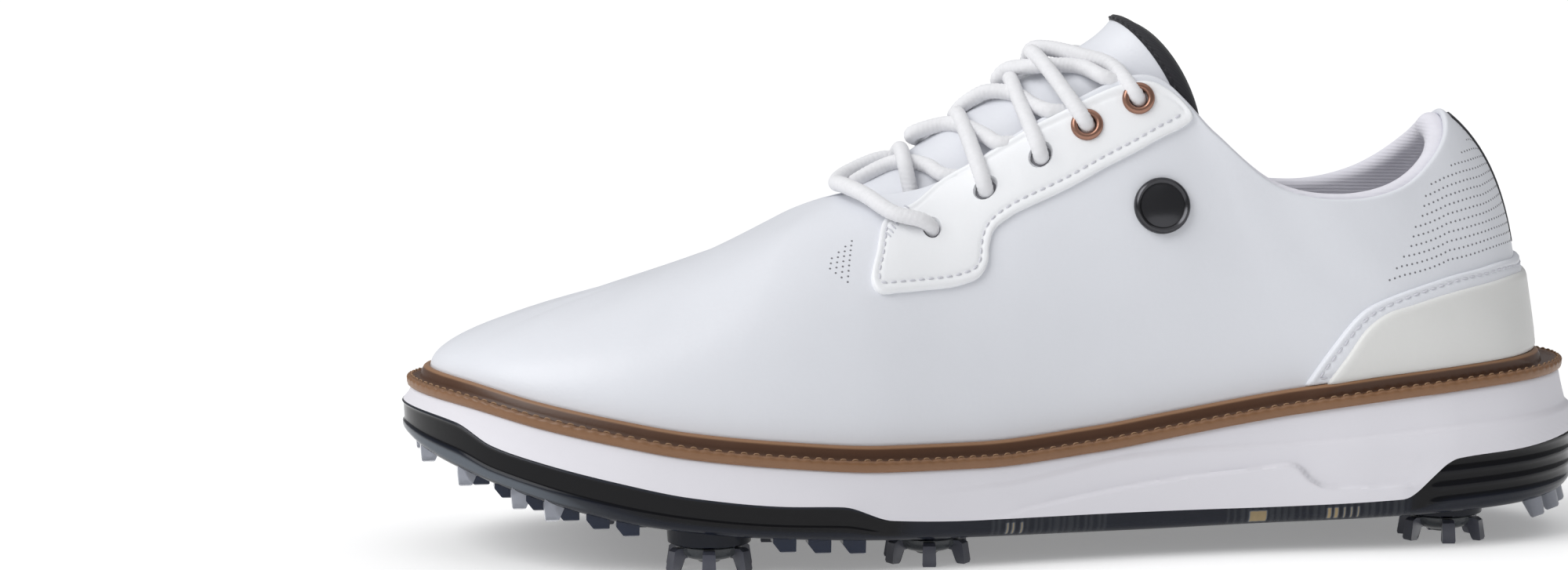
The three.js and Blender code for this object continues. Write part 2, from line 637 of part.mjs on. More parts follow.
function tongueSheet(fromU, toU, rows, outer, inner) {
  const columns = 12
  const points = []
  for (const depth of [outer, inner]) {
    for (let i = 0; i <= rows; i++) {
      const u = fromU + ((toU - fromU) * i) / rows
      for (let j = 0; j <= columns; j++) {
        const v = (2 * j) / columns - 1
        points.push(tongueFace(u, v).addScaledVector(tongueNormal(u, v), depth))
      }
    }
  }
  const at = (i, j, layer) => (layer * (rows + 1) + i) * (columns + 1) + j
  const quads = []
  for (let i = 0; i < rows; i++) {
    for (let j = 0; j < columns; j++) {
      quads.push([at(i, j, 0), at(i + 1, j, 0), at(i + 1, j + 1, 0), at(i, j + 1, 0)])
      quads.push([at(i, j, 1), at(i, j + 1, 1), at(i + 1, j + 1, 1), at(i + 1, j, 1)])
    }
    quads.push([at(i + 1, 0, 0), at(i, 0, 0), at(i, 0, 1), at(i + 1, 0, 1)])
    quads.push([at(i, columns, 0), at(i + 1, columns, 0), at(i + 1, columns, 1), at(i, columns, 1)])
  }
  for (let j = 0; j < columns; j++) {
    quads.push([at(0, j, 0), at(0, j + 1, 0), at(0, j + 1, 1), at(0, j, 1)])
    quads.push([at(rows, j + 1, 0), at(rows, j, 0), at(rows, j, 1), at(rows, j + 1, 1)])
  }
  return solidFrom(points, quads)
}

// One lace crosses the tongue from hole to hole: it enters each hole from outside, passes under
// the eyestay and comes up inside the edge of the throat.
const OVER = 5.2 // height of the lace's centre where it lies on an eyestay
const UNDER = -4.2 // and where it lies under one

function throughHole(index, lateral) {
  const [station, share] = LACE_HOLES[index]
  const at = (ahead, t, depth) => onUpper(lateral ? station + ahead : mirrored(station + ahead), t, depth)
  const inner = at(0.16, 1, -TONGUE)
  inner.y += lateral ? 3.4 : -3
  return [
    at(-0.12, 1, OVER), at(-0.03, (share + 1) / 2, OVER), at(0, share, 2.8), at(0, share, 0.2),
    at(0, share, -2.6), at(0.08, (share + 1) / 2, UNDER), inner,
  ]
}

// A point over the tongue at a given x, across it by v, raised by height.
function overTongue(x, v, height) {
  const shares = [...Array(201).keys()].map((i) => i / 200)
  const u = shares.find((share) => TONGUE_CENTRE.getPoint(share).x > x)
  return tongueFace(u, v).addScaledVector(tongueNormal(u, v), height)
}

// The lace from one pair of holes crosses the tongue to the next pair, one strand over the other.
function crossing(index, fromLateral) {
  const before = topEdge(LACE_HOLES[index][0]).x + 2
  const step = topEdge(LACE_HOLES[index + 1][0]).x - 2 - before
  const side = fromLateral ? -1 : 1
  const resting = LACE_RADIUS + 1.6
  const raised = resting + (fromLateral ? 0 : 2 * LACE_RADIUS + 0.6)
  return [
    overTongue(before + 0.22 * step, side * 0.6, resting), overTongue(before + 0.5 * step, 0, raised),
    overTongue(before + 0.66 * step, -side * 0.3, raised),
  ]
}

// From the lace's front bar to its end inside the shoe, starting on one side.
function halfLace(startsLateral) {
  const path = []
  LACE_HOLES.forEach((_, index) => {
    const lateral = startsLateral === (index % 2 === 0)
    const points = throughHole(index, lateral)
    const last = index === TOP_HOLE
    path.push(...points.slice(index === 0 ? 1 : 0, last ? 5 : 7))
    if (!last) path.push(...crossing(index, lateral))
  })
  return path
}

const laceEnd = (s) => onUpper(s + (isLateral(s) ? 0.05 : -0.05), 0.8, UNDER)

function lace() {
  const bar = [[5.25, 0.9], [4.4, 0.99], [mirrored(4.4), 0.99], [mirrored(5.25), 0.9]]
    .map(([s, t]) => onUpper(s, t, LACE_RADIUS + 1.2))
  const ends = [LACE_HOLES[TOP_HOLE][0], mirrored(LACE_HOLES[TOP_HOLE][0])].map(laceEnd)
  const path = [ends[0], ...halfLace(true).reverse(), ...bar, ...halfLace(false), ends[1]]
  return cord(path, LACE_RADIUS, 200, 5)
}

// The stiff tip that hangs inside the shoe at each end of the lace.
function aglet(lateral) {
  const side = (s) => (lateral ? s : mirrored(s))
  const s = LACE_HOLES[TOP_HOLE][0] + 0.06
  const path = [0.78, 0.71, 0.64].map((t) => onUpper(side(s), t, UNDER - 0.4))
  return cord(path, AGLET_RADIUS, 3)
}

function addUpper() {
  add('upper_shell', holesThrough(band({ outer: 0, inner: -UPPER })), WHITE, 0.45)
  add('eyestay_lateral', eyestay(-BEYOND, 0), WHITE, 0.45)
  add('eyestay_medial', eyestay(0, BEYOND), WHITE, 0.45)
  const overlay = band({ from: 8, to: mirrored(8), outer: GAP + OVERLAY, inner: GAP })
  const cover = overlay.intersect(prism(HEEL_COVER_OUTLINE, -BEYOND, BEYOND))
  add('heel_cover', cover, IVORY, 0.5)
  const strip = band({ from: 12, to: mirrored(12), outer: GAP + 1, inner: GAP })
  const { halfWidth, low, high } = BACKSTAY
  const stripArea = block([90, -halfWidth, low], [150, halfWidth, high])
  add('backstay', strip.intersect(stripArea), BLACK, 0.6)
  add('toe_puff', band({ from: -3, to: 3, low: 1, ...STIFF }), IVORY, 0.8)
  const counter = band({ from: 11, to: mirrored(11), low: 1, high: 5, ...STIFF })
  add('heel_stiffener', counter, IVORY, 0.8)
  add('collar_padding', band({ from: 9.5, to: mirrored(9.5), low: 6, ...STIFF }), FOAM, 0.9)
  add('vamp_lining', band({ from: -RIDGE_END, to: RIDGE_END, low: 1, ...LINING }), KNIT, 0.9)
  const quarterLining = band({ from: 5.5, to: mirrored(5.5), low: 1, ...LINING })
  const throat = prism(THROAT_CLEARANCE, -BEYOND, BEYOND)
  add('collar_lining', quarterLining.subtract(throat), KNIT, 0.9)
  add('side_badge', badge(), STEEL, 0.25, 0.9)
  for (const [index, name] of Object.entries(METAL_EYELETS)) {
    add(`eyelet_lateral_${name}`, eyelet(LACE_HOLES[index]), COPPER, 0.3, 0.9)
    add(`eyelet_medial_${name}`, eyelet(medialHole(LACE_HOLES[index])), COPPER, 0.3, 0.9)
  }
  add('lace', lace(), WHITE, 0.8)
  add('aglet_lateral', aglet(true), WHITE, 0.3)
  add('aglet_medial', aglet(false), WHITE, 0.3)
  add('tongue', tongueSheet(0, 0.94, 12, 0, -TONGUE), WHITE, 0.6)
  add('tongue_binding', tongueSheet(0.95, 1, 1, TAPE, -TONGUE - TAPE), BLACK, 0.8)
}

addSole()
addUpper()

export default group
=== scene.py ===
import math
import random

import bpy
import numpy as np
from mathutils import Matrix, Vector
from mathutils.geometry import delaunay_2d_cdt


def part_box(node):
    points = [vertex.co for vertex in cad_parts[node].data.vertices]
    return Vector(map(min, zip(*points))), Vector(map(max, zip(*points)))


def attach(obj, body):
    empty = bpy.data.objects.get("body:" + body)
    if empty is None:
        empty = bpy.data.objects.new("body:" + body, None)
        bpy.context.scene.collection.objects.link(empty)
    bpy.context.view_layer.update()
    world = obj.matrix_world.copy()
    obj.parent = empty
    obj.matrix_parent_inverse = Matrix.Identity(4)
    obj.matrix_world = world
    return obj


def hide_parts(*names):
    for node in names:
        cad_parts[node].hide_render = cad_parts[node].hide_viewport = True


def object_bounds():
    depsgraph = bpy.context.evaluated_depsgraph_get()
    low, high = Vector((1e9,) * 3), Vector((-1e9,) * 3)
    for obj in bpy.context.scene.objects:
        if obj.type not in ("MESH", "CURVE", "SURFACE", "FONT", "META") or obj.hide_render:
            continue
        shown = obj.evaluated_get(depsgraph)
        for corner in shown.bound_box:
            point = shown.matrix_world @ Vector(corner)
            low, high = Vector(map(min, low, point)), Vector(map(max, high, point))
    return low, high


# A left golf shoe. Shapes are worked out in millimetres in the design's own frame (toe at -X,
# little-toe side at -Y, ground at z = 0) and put in place by the box of the CAD frame.

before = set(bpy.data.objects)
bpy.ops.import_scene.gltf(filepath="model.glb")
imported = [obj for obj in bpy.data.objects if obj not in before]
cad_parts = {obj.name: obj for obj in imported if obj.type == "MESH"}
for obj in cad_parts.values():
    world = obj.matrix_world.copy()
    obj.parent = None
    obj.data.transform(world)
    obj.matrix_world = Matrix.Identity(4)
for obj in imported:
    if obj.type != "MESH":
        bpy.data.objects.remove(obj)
CAD_LOW, CAD_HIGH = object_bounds()
DESIGN_LENGTH = 309.0
MM = (CAD_HIGH.x - CAD_LOW.x) / DESIGN_LENGTH
ORIGIN = np.array([(CAD_LOW.x + CAD_HIGH.x) / 2, (CAD_LOW.y + CAD_HIGH.y) / 2, CAD_LOW.z])
TAU = 2 * math.pi
random.seed(7)

# ---- Driving shapes of the shoe -----------------------------------------------------

# x of the welt's edge, its distance from the centre plane on each side; x, distances and height
# of the top edge; rise and swell of the wall at the sole, reach and drop at the top edge.
STATIONS = np.array([
    [-153, -6, 6, -100, 0, 0, 67.6, .36, 1.5, .5, 0],
    [-147, 14, 26, -96.5, 0, 0, 68.6, .4, 1.5, .5, 0],
    [-131, 33, 41, -87, 0, 0, 71.6, .45, 2, .5, 0],
    [-106, 46, 49.4, -68, 0, 0, 78.6, .5, 2, .52, 0],
    [-76, 51.9, 52.4, -46, 0, 0, 89, .52, 2, .55, 0],
    [-46, 52, 49.3, -34, 9.5, 9, 90.6, .5, 2.5, .48, .05],
    [-16, 47, 42.5, -18, 14.5, 13.5, 95, .44, 3, .42, .14],
    [14, 41.5, 37, 9, 16.5, 15, 111.5, .38, 3, .36, .22],
    [42, 38.5, 34.5, 34, 20.5, 18.5, 121.5, .36, 3, .28, .28],
    [66, 37.5, 33.5, 50.5, 26, 24, 106.5, .35, 3, .18, .34],
    [90, 38, 34.5, 67, 28, 26.5, 93, .35, 3, .1, .36],
    [113, 36.5, 34.5, 84, 29, 28, 89.6, .34, 2.5, .06, .36],
    [132.5, 30, 29.5, 101, 26, 25.5, 92.8, .33, 1, .12, .34],
    [146, 16.5, 16.5, 114, 15.5, 15.5, 103.5, .3, -.8, .55, .27],
    [150.8, 0, 0, 118, 0, 0, 111, .29, -2.6, .85, .24],
], float)
LAST = len(STATIONS) - 1
RIDGE_END = 4
AROUND = 2 * LAST
FEATHER_RISE, FEATHER_INSET, HEEL_INSET = 5.2, 5.6, 4.4
LEATHER = 1.8


def curve(points):
    """A smooth single-valued curve through the points that doesn't overshoot them."""
    xs, zs = np.array(points, float).T
    secant = np.diff(zs) / np.diff(xs)
    slopes = np.concatenate([secant[:1], np.zeros(len(xs) - 2), secant[-1:]])
    before, after = secant[:-1], secant[1:]
    total = np.where(before + after == 0, 1, before + after)
    slopes[1:-1] = np.where(before * after > 0, 2 * before * after / total, 0)

    def at(x):
        x = np.clip(x, xs[0], xs[-1])
        i = np.clip(np.searchsorted(xs, x) - 1, 0, len(xs) - 2)
        width = xs[i + 1] - xs[i]
        f = (x - xs[i]) / width
        g = 1 - f
        ends = zs[i] * (1 + 2 * f) * g * g + zs[i + 1] * f * f * (3 - 2 * f)
        return ends + width * (slopes[i] * f * g * g - slopes[i + 1] * f * f * g)
    return at


WELT_Z = curve([
    [-153, 41.5], [-140, 39.8], [-123, 36], [-105, 32.5], [-87, 29.4], [-64, 27], [-38, 25.2],
    [-14, 25], [17, 27.5], [36, 30.3], [70, 35.5], [108, 40], [130, 41.8], [153, 42.8]])
SOLE_Z = curve([
    [-155, 30.5], [-149, 26.3], [-140, 22.8], [-130, 19.6], [-115, 15.4], [-97, 12], [-70, 9.3],
    [-25, 7.4], [25, 6.7], [70, 7.4], [105, 8.6], [138, 10.4], [150, 12.6], [155, 17]])
CUP_LATERAL = curve([
    [-155, 38.5], [-142, 36], [-134, 31.2], [-123, 27.9], [-105, 23.7], [-87, 20.1], [-64, 17.7],
    [-50, 17.2], [-37, 13.2], [-14, 12.1], [52, 12.1], [97, 13.4], [112, 23.5], [130, 25.1],
    [155, 28.7]])
CUP_MEDIAL = curve([
    [-155, 38.5], [-142, 36.6], [-131, 27], [-121, 20.5], [-105, 17.4], [-85, 16.4], [-40, 14.2],
    [-14, 12.4], [52, 12.1], [97, 13.4], [112, 23.5], [130, 25.1], [155, 28.7]])
FLARE = curve([
    [-153, 1.5], [-130, 1.2], [-80, 1], [-20, .6], [40, .4], [90, 1.2], [125, 2.2], [150.8, 3.7]])


def unit(v):
    return v / np.maximum(np.linalg.norm(v, axis=-1, keepdims=True), 1e-9)


def smooth(low, high, x):
    f = np.clip((np.asarray(x, float) - low) / (high - low), 0, 1)
    return f * f * (3 - 2 * f)


def point(x, y, z):
    return np.stack(np.broadcast_arrays(np.asarray(x, float), y, z), axis=-1)


def station_of(s):
    around = np.mod(s, AROUND)
    return np.where(around <= LAST, around, AROUND - around)


def is_lateral(s):
    return np.mod(s, AROUND) <= LAST


def round_ring(column, s, medial=None):
    """Closed Catmull-Rom spline over the ring of stations; medial names the other side's column."""
    ring = np.arange(AROUND)
    other = column if medial is None else medial
    side = np.where(ring <= LAST, column, other)
    values = STATIONS[np.where(ring <= LAST, ring, AROUND - ring), side]
    if medial is not None:
        values = np.where(ring <= LAST, -values, values)
    whole = np.floor(s).astype(int)
    f = s - whole
    a, b, c, d = (values[(whole + k) % AROUND] for k in (-1, 0, 1, 2))
    bend = (2 * a - 5 * b + 4 * c - d) * f * f + (3 * b - a - 3 * c + d) * f ** 3
    return .5 * (2 * b + (c - a) * f + bend)


def plan_edge(s):
    """Plan point of the welt's edge, and the direction that leads out of the shoe there."""
    s = np.asarray(s, float)
    here = point(round_ring(0, s), round_ring(1, s, 2), 0)
    step = 1e-3
    ahead = point(round_ring(0, s + step), round_ring(1, s + step, 2), 0)
    along = unit(ahead - here)
    return here, point(along[..., 1], -along[..., 0], 0)


def sole_point(s, offset, z):
    here, out = plan_edge(s)
    moved = here + out * np.asarray(offset, float)[..., None]
    moved[..., 2] = z
    return moved


def top_edge(s):
    s = np.asarray(s, float)
    side = round_ring(4, s, 5)
    y = np.where(is_lateral(s), np.minimum(side, 0), np.maximum(side, 0))
    y = np.where(station_of(s) <= RIDGE_END, 0, y)
    return point(round_ring(3, s), y, round_ring(6, s))


def ridge_slope(s):
    at = np.clip(station_of(s), .3, RIDGE_END)
    fade = np.clip((RIDGE_END + 2 - station_of(s)) / 2, 0, 1)
    step = top_edge(at + 1e-3) - top_edge(at - 1e-3)
    return fade * step[..., 2] / step[..., 0]


def feather_inset(s):
    return FEATHER_INSET + HEEL_INSET * smooth(11.5, 14, station_of(s))


def upper_face(s, t):
    """Outer face of the upper: s runs round the ring, t from the sole (0) to the top edge (1)."""
    s, t = np.broadcast_arrays(np.asarray(s, float), np.asarray(t, float))
    edge, out = plan_edge(s)
    low = edge - out * feather_inset(s)[..., None]
    low[..., 2] = WELT_Z(low[..., 0]) + FEATHER_RISE
    high = top_edge(s)
    rise, swell, reach, drop = (round_ring(k, s) for k in (7, 8, 9, 10))
    height = high[..., 2] - low[..., 2]
    away = (low - high) * [1, 1, 0]
    distance = np.maximum(np.linalg.norm(away, axis=-1), 25)
    turn = np.clip((station_of(s) - 9) / 2, 0, 1)[..., None]
    away = unit(away) * (1 - turn) + out * turn
    low_handle = low + out * swell[..., None]
    low_handle[..., 2] += rise * height
    high_handle = high + away * (reach * distance)[..., None]
    high_handle[..., 2] += reach * distance * away[..., 0] * ridge_slope(s) - drop * height
    t = t[..., None]
    u = 1 - t
    return low * u ** 3 + low_handle * 3 * u * u * t + high_handle * 3 * u * t * t + high * t ** 3


def upper_normal(s, t):
    s, t = np.broadcast_arrays(np.asarray(s, float), np.asarray(t, float))
    step = 1e-3
    along = upper_face(s + step, t) - upper_face(s - step, t)
    up = upper_face(s, t + step) - upper_face(s, t - step)
    normal = unit(np.cross(along, up))
    at = np.maximum(station_of(s), 1e-3)
    ridge = top_edge(at + 1e-3) - top_edge(at - 1e-3)
    crown = unit(point(-ridge[..., 2], 0, ridge[..., 0]))
    on_ridge = (t > .999) & (station_of(s) <= RIDGE_END)
    return np.where(on_ridge[..., None], crown, normal)


def on_upper(s, t, depth=0.):
    return upper_face(s, t) + upper_normal(s, t) * np.asarray(depth, float)[..., None]


def find_on_upper(corners):
    """Ring and height positions (s, t) on the lateral side of points given in side view [x, z]."""
    s, t = np.meshgrid(np.linspace(.3, LAST, 180), np.linspace(0, 1, 60), indexing="ij")
    face = upper_face(s, t)[..., [0, 2]]
    found = []
    for corner in np.array(corners, float):
        i = np.unravel_index(np.argmin(((face - corner) ** 2).sum(-1)), s.shape)
        at = np.array([s[i], t[i]])
        for _ in range(6):
            here = upper_face(*at)[[0, 2]]
            step = 1e-3
            along = (upper_face(at[0] + step, at[1])[[0, 2]] - here) / step
            up = (upper_face(at[0], at[1] - step)[[0, 2]] - here) / -step
            move = np.linalg.lstsq(np.stack([along, up], 1), corner - here, rcond=1e-3)[0]
            at = np.clip(at + np.clip(move, -.2, .2), [0, 0], [LAST, 1])
        found.append(at)
    return np.array(found)


# ---- Meshes -------------------------------------------------------------------------

def build(name, points, faces, material, body="shoe", slot=None, stands_for=(), smooth_angle=50):
    """A mesh piece from points in millimetres that rides on a CAD body."""
    mesh = bpy.data.meshes.new(name)
    mesh.from_pydata((np.asarray(points) * MM + ORIGIN).tolist(), [], faces)
    mesh.validate()
    mesh.materials.append(material)
    mesh.shade_smooth()
    piece = bpy.data.objects.new(name, mesh)
    bpy.context.scene.collection.objects.link(piece)
    if smooth_angle < 180:
        mesh.set_sharp_from_angle(angle=math.radians(smooth_angle))
    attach(piece, body)
    if stands_for:
        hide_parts(*stands_for)
    return piece


def grid_faces(rows, columns, wrap_rows=False, wrap_columns=False, start=0, keep=None):
    """Quads of a grid of points kept row by row; keep(row, column) can leave some out."""
    faces = []
    for r in range(rows if wrap_rows else rows - 1):
        for c in range(columns if wrap_columns else columns - 1):
            if keep and not keep(r, c):
                continue
            below, right = (r + 1) % rows, (c + 1) % columns
            faces.append((start + r * columns + c, start + r * columns + right,
                          start + below * columns + right, start + below * columns + c))
    return faces


def turned_out(points, faces):
    """The faces, turned round if they enclose a negative volume."""
    fans = [(face[0], face[k], face[k + 1]) for face in faces for k in range(1, len(face) - 1)]
    a, b, c = np.asarray(points)[np.array(fans).T]
    volume = np.sum(a * np.cross(b, c))
    return [face[::-1] for face in faces] if volume < 0 else faces


class Parts:
    """Collects closed bodies into one mesh."""

    def __init__(self):
        self.points, self.faces = [], []

    def add(self, points, faces):
        start = len(self.points)
        faces = turned_out(points, faces)
        self.points.extend(np.asarray(points).tolist())
        self.faces.extend(tuple(start + i for i in face) for face in faces)

    def build(self, name, material, **rest):
        return build(name, self.points, self.faces, material, **rest)


def hoop(rings):
    """Closed body whose section runs round, ring by ring."""
    rings = np.asarray(rings)
    return rings.reshape(-1, 3), grid_faces(*rings.shape[:2], wrap_rows=True, wrap_columns=True)


def loft(rings):
    """Closed body from rings, with a cap at each end that joins a ring's two halves."""
    rings = np.asarray(rings)
    count = rings.shape[1]
    faces = grid_faces(*rings.shape[:2], wrap_columns=True)
    top = (len(rings) - 1) * count
    for i in range(count // 2):
        across = (count - i) % count
        faces.append((across, i, i + 1, count - i - 1)[::-1])
        faces.append((top + i, top + i + 1, top + count - i - 1, top + across)[::-1])
    return rings.reshape(-1, 3), faces


def tube(path, radius, sides=10, closed=False):
    """Round body along a path; radius may change along it and be an array of (ring, side)."""
    path = np.asarray(path, float)
    along = unit(np.gradient(path, axis=0))
    if closed:
        along = unit(np.roll(path, -1, 0) - np.roll(path, 1, 0))
    side = np.zeros_like(path)
    start = np.cross(along[0], [0, 0, 1.])
    side[0] = unit(start if np.linalg.norm(start) > .1 else np.cross(along[0], [0, 1., 0]))
    for i in range(1, len(path)):
        side[i] = unit(side[i - 1] - along[i] * np.dot(side[i - 1], along[i]))
    up = np.cross(along, side)
    angle = np.arange(sides) / sides * TAU
    radius = np.broadcast_to(np.asarray(radius, float), (len(path), sides)) if np.ndim(radius) != 1 \
        else np.repeat(np.asarray(radius)[:, None], sides, 1)
    rings = path[:, None] + radius[..., None] * (
        np.cos(angle)[None, :, None] * side[:, None] + np.sin(angle)[None, :, None] * up[:, None])
    faces = grid_faces(len(path), sides, wrap_rows=closed, wrap_columns=True)
    points = rings.reshape(-1, 3)
    if not closed:
        faces.append(tuple(range(sides))[::-1])
        last = (len(path) - 1) * sides
        faces.append(tuple(last + i for i in range(sides)))
    return points, faces


def lathe(profile, sides=32):
    """Closed round body about +Z from [radius, height] pairs that start and end on the axis."""
    profile = np.array(profile, float)
    angle = np.arange(sides) / sides * TAU
    inner = profile[1:-1]
    rings = np.stack([inner[:, None, 0] * np.cos(angle), inner[:, None, 0] * np.sin(angle),
                      np.repeat(inner[:, None, 1], sides, 1)], -1)
    points = np.concatenate([rings.reshape(-1, 3), [[0, 0, profile[0, 1]], [0, 0, profile[-1, 1]]]])
    faces = grid_faces(len(inner), sides, wrap_columns=True)
    low, high, last = len(points) - 2, len(points) - 1, (len(inner) - 1) * sides
    for i in range(sides):
        j = (i + 1) % sides
        faces.append((low, j, i))
        faces.append((high, last + i, last + j))
    return points, faces


def ring_of_section(section, sides=32):
    """Closed ring about +Z from a closed section of [radius, height] pairs."""
    section = np.array(section, float)
    angle = np.arange(sides) / sides * TAU
    rings = np.stack([section[:, 0] * np.cos(angle)[:, None], section[:, 0] * np.sin(angle)[:, None],
                      np.repeat(section[None, :, 1], sides, 0)], -1)
    return hoop(rings)


def stand(points, place, normal, forward=(0, 0, 1)):
    """Moves points built about +Z to a place, with +Z along the normal and +Y near forward."""
    normal = unit(np.asarray(normal, float))
    right = unit(np.cross(forward, normal))
    up = np.cross(normal, right)
    points = np.asarray(points)
    return place + points[:, :1] * right + points[:, 1:2] * up + points[:, 2:] * normal


def through(points, count=None, closed=False, step=1.0):
    """Even points along a centripetal Catmull-Rom curve through the given points."""
    points = np.asarray(points, float)
    n = len(points)
    path = []
    for i in range(n if closed else n - 1):
        if closed:
            a, b, c, d = (points[(i + k) % n] for k in (-1, 0, 1, 2))
        else:
            b, c = points[i], points[i + 1]
            a = points[i - 1] if i else 2 * b - c
            d = points[i + 2] if i + 2 < n else 2 * c - b
        ab, bc, cd = (max(np.linalg.norm(q - p), 1e-6) ** .5 for p, q in ((a, b), (b, c), (c, d)))
        m1 = (c - b) + bc * ((b - a) / ab - (c - a) / (ab + bc))
        m2 = (c - b) + bc * ((d - c) / cd - (d - b) / (bc + cd))
        f = np.linspace(0, 1, 24, endpoint=False)[:, None]
        path.append(b * (2 * f ** 3 - 3 * f ** 2 + 1) + c * (3 * f ** 2 - 2 * f ** 3)
                    + m1 * (f ** 3 - 2 * f ** 2 + f) + m2 * (f ** 3 - f ** 2))
    path = np.concatenate(path + [points[:1] if closed else points[-1:]])
    run = np.concatenate([[0], np.cumsum(np.linalg.norm(np.diff(path, axis=0), axis=1))])
    count = count or max(int(round(run[-1] / step)), 2)
    at = np.linspace(0, run[-1], count, endpoint=not closed)
    return np.stack([np.interp(at, run, path[:, k]) for k in range(path.shape[1])], -1)


def capsule(a, b, normal, radius, sag=.12):
    """One stitch from a to b: a round-ended thread, pulled down at its ends."""
    a, b, normal = (np.asarray(v, float) for v in (a, b, normal))
    share = np.array([0, .06, .2, .5, .8, .94, 1])
    rise = np.array([-.7, -.3, .1, .25, .1, -.3, -.7]) * radius * 2
    width = np.array([.35, .8, 1, 1, 1, .8, .35]) * radius
    path = a + (b - a) * share[:, None] + normal * rise[:, None]
    return tube(path, width, sides=6)


def stitch_row(parts, points, normals, length, gap, radius, lift=0.):
    """Stitches along a path on a surface."""
    points, normals = np.asarray(points, float), np.asarray(normals, float)
    run = np.concatenate([[0], np.cumsum(np.linalg.norm(np.diff(points, axis=0), axis=1))])
    count = max(int(run[-1] / (length + gap)), 1)
    pitch = run[-1] / count

    def at(values, distance):
        return np.stack([np.interp(distance, run, values[:, k]) for k in range(3)], -1)
    for i in range(count):
        start = i * pitch + gap / 2
        a, b = at(points, start), at(points, start + pitch - gap)
        normal = unit(at(normals, start + pitch / 2))
        parts.add(*capsule(a + normal * lift, b + normal * lift, normal, radius))


# ---- Pieces sewn on the upper -------------------------------------------------------

RING_SCALE = 27.0   # one station is about this long, in millimetres
HEIGHT_SCALE = 62.0  # and the wall about this high


def flat(places):
    """Positions (s, t) on the upper laid out in millimetres, for measuring and meshing."""
    return np.asarray(places) * [RING_SCALE, HEIGHT_SCALE]


def inset(loop, distance):
    """A closed loop of plan points moved inwards, without the parts that cross over."""
    ahead, behind = np.roll(loop, -1, 0), np.roll(loop, 1, 0)
    along = unit(ahead - behind)
    area = np.sum(loop[:, 0] * ahead[:, 1] - ahead[:, 0] * loop[:, 1])
    inward = np.stack([-along[:, 1], along[:, 0]], -1) * (1 if area > 0 else -1)
    moved = loop + inward * distance
    clear = edge_distance(moved, loop) > distance - .12
    return moved[clear]


def edge_distance(places, loop):
    """Distance of each place from the closed loop of short segments."""
    a, b = loop, np.roll(loop, -1, 0)
    best = np.full(len(places), 1e9)
    for start, end in zip(a, b):
        along = end - start
        f = np.clip((places - start) @ along / max(along @ along, 1e-9), 0, 1)
        gap = np.linalg.norm(places - start - f[:, None] * along, axis=1)
        best = np.minimum(best, gap)
    return best


def inside(places, loop):
    x, y = places[:, 0], places[:, 1]
    result = np.zeros(len(places), bool)
    for (ax, ay), (bx, by) in zip(loop, np.roll(loop, -1, 0)):
        if ay != by:
            crosses = (ay > y) != (by > y)
            result ^= crosses & (x < (bx - ax) * (y - ay) / (by - ay) + ax)
    return result


def patch(loop, height, base=-.3, spacing=3.0, steps=(.35, .8, 1.5, 2.3, 3.2), holes=(), lay=None):
    """A closed sheet on the upper inside a loop of (s, t); height(distance, places) is its top."""
    lay = lay or on_upper
    edge = flat(loop)
    rims = [flat([centre]) + np.stack([np.cos(a), np.sin(a)], -1) * radius
            for centre, radius in holes for a in [np.arange(18) / 18 * TAU]]
    groups = [edge] + rims
    fixed = list(groups)
    for step in steps:
        fixed.append(inset(edge, step))
    for centre, radius in holes:
        angle = np.arange(18) / 18 * TAU
        for step in (.5, 1.1):
            fixed.append(flat([centre]) + np.stack([np.cos(angle), np.sin(angle)], -1) * (radius + step))
    low, high = edge.min(0), edge.max(0)
    inner = np.stack(np.meshgrid(np.arange(low[0], high[0], spacing),
                                 np.arange(low[1], high[1], spacing)), -1).reshape(-1, 2)
    inner = inner[inside(inner, edge)]
    inner = inner[edge_distance(inner, edge) > steps[-1] + spacing / 2]
    for centre, radius in holes:
        inner = inner[np.linalg.norm(inner - flat([centre]), axis=1) > radius + 2.2]
    fixed.append(inner)
    places = np.concatenate(fixed)
    keep = np.ones(len(places), bool)
    for centre, radius in holes:
        keep &= np.linalg.norm(places - flat([centre]), axis=1) > radius - .05
    first = sum(len(g) for g in groups)
    keep[:first] = True
    places = places[keep]
    segments, start = [], 0
    for group in groups:
        n = len(group)
        segments += [(start + i, start + (i + 1) % n) for i in range(n)]
        start += n
    verts, _, triangles, *_ = delaunay_2d_cdt([Vector(p) for p in places], segments, [], 1, 1e-4)
    verts = np.array([tuple(v) for v in verts])
    triangles = [tuple(f) for f in triangles]
    middle = np.array([verts[list(f)].mean(0) for f in triangles])
    good = inside(middle, edge)
    for centre, radius in holes:
        good &= np.linalg.norm(middle - flat([centre]), axis=1) > radius * .97
    triangles = [f for f, ok in zip(triangles, good) if ok]
    distance = edge_distance(verts, edge)
    for rim in rims:
        distance = np.minimum(distance, edge_distance(verts, rim))
    used = sorted({i for f in triangles for i in f})
    number = {old: new for new, old in enumerate(used)}
    verts, distance = verts[used], distance[used]
    triangles = [tuple(number[i] for i in f) for f in triangles]
    st = verts / [RING_SCALE, HEIGHT_SCALE]
    top = lay(st[:, 0], st[:, 1], height(distance, st))
    bottom = lay(st[:, 0], st[:, 1], np.full(len(st), base))
    count = len(verts)
    edges = {}
    for a, b, c in triangles:
        for pair in ((a, b), (b, c), (c, a)):
            edges[pair] = True
    faces = list(triangles) + [(c + count, b + count, a + count) for a, b, c in triangles]
    for a, b in edges:
        if (b, a) not in edges:
            faces.append((b, a, a + count, b + count))
    return np.concatenate([top, bottom]), faces


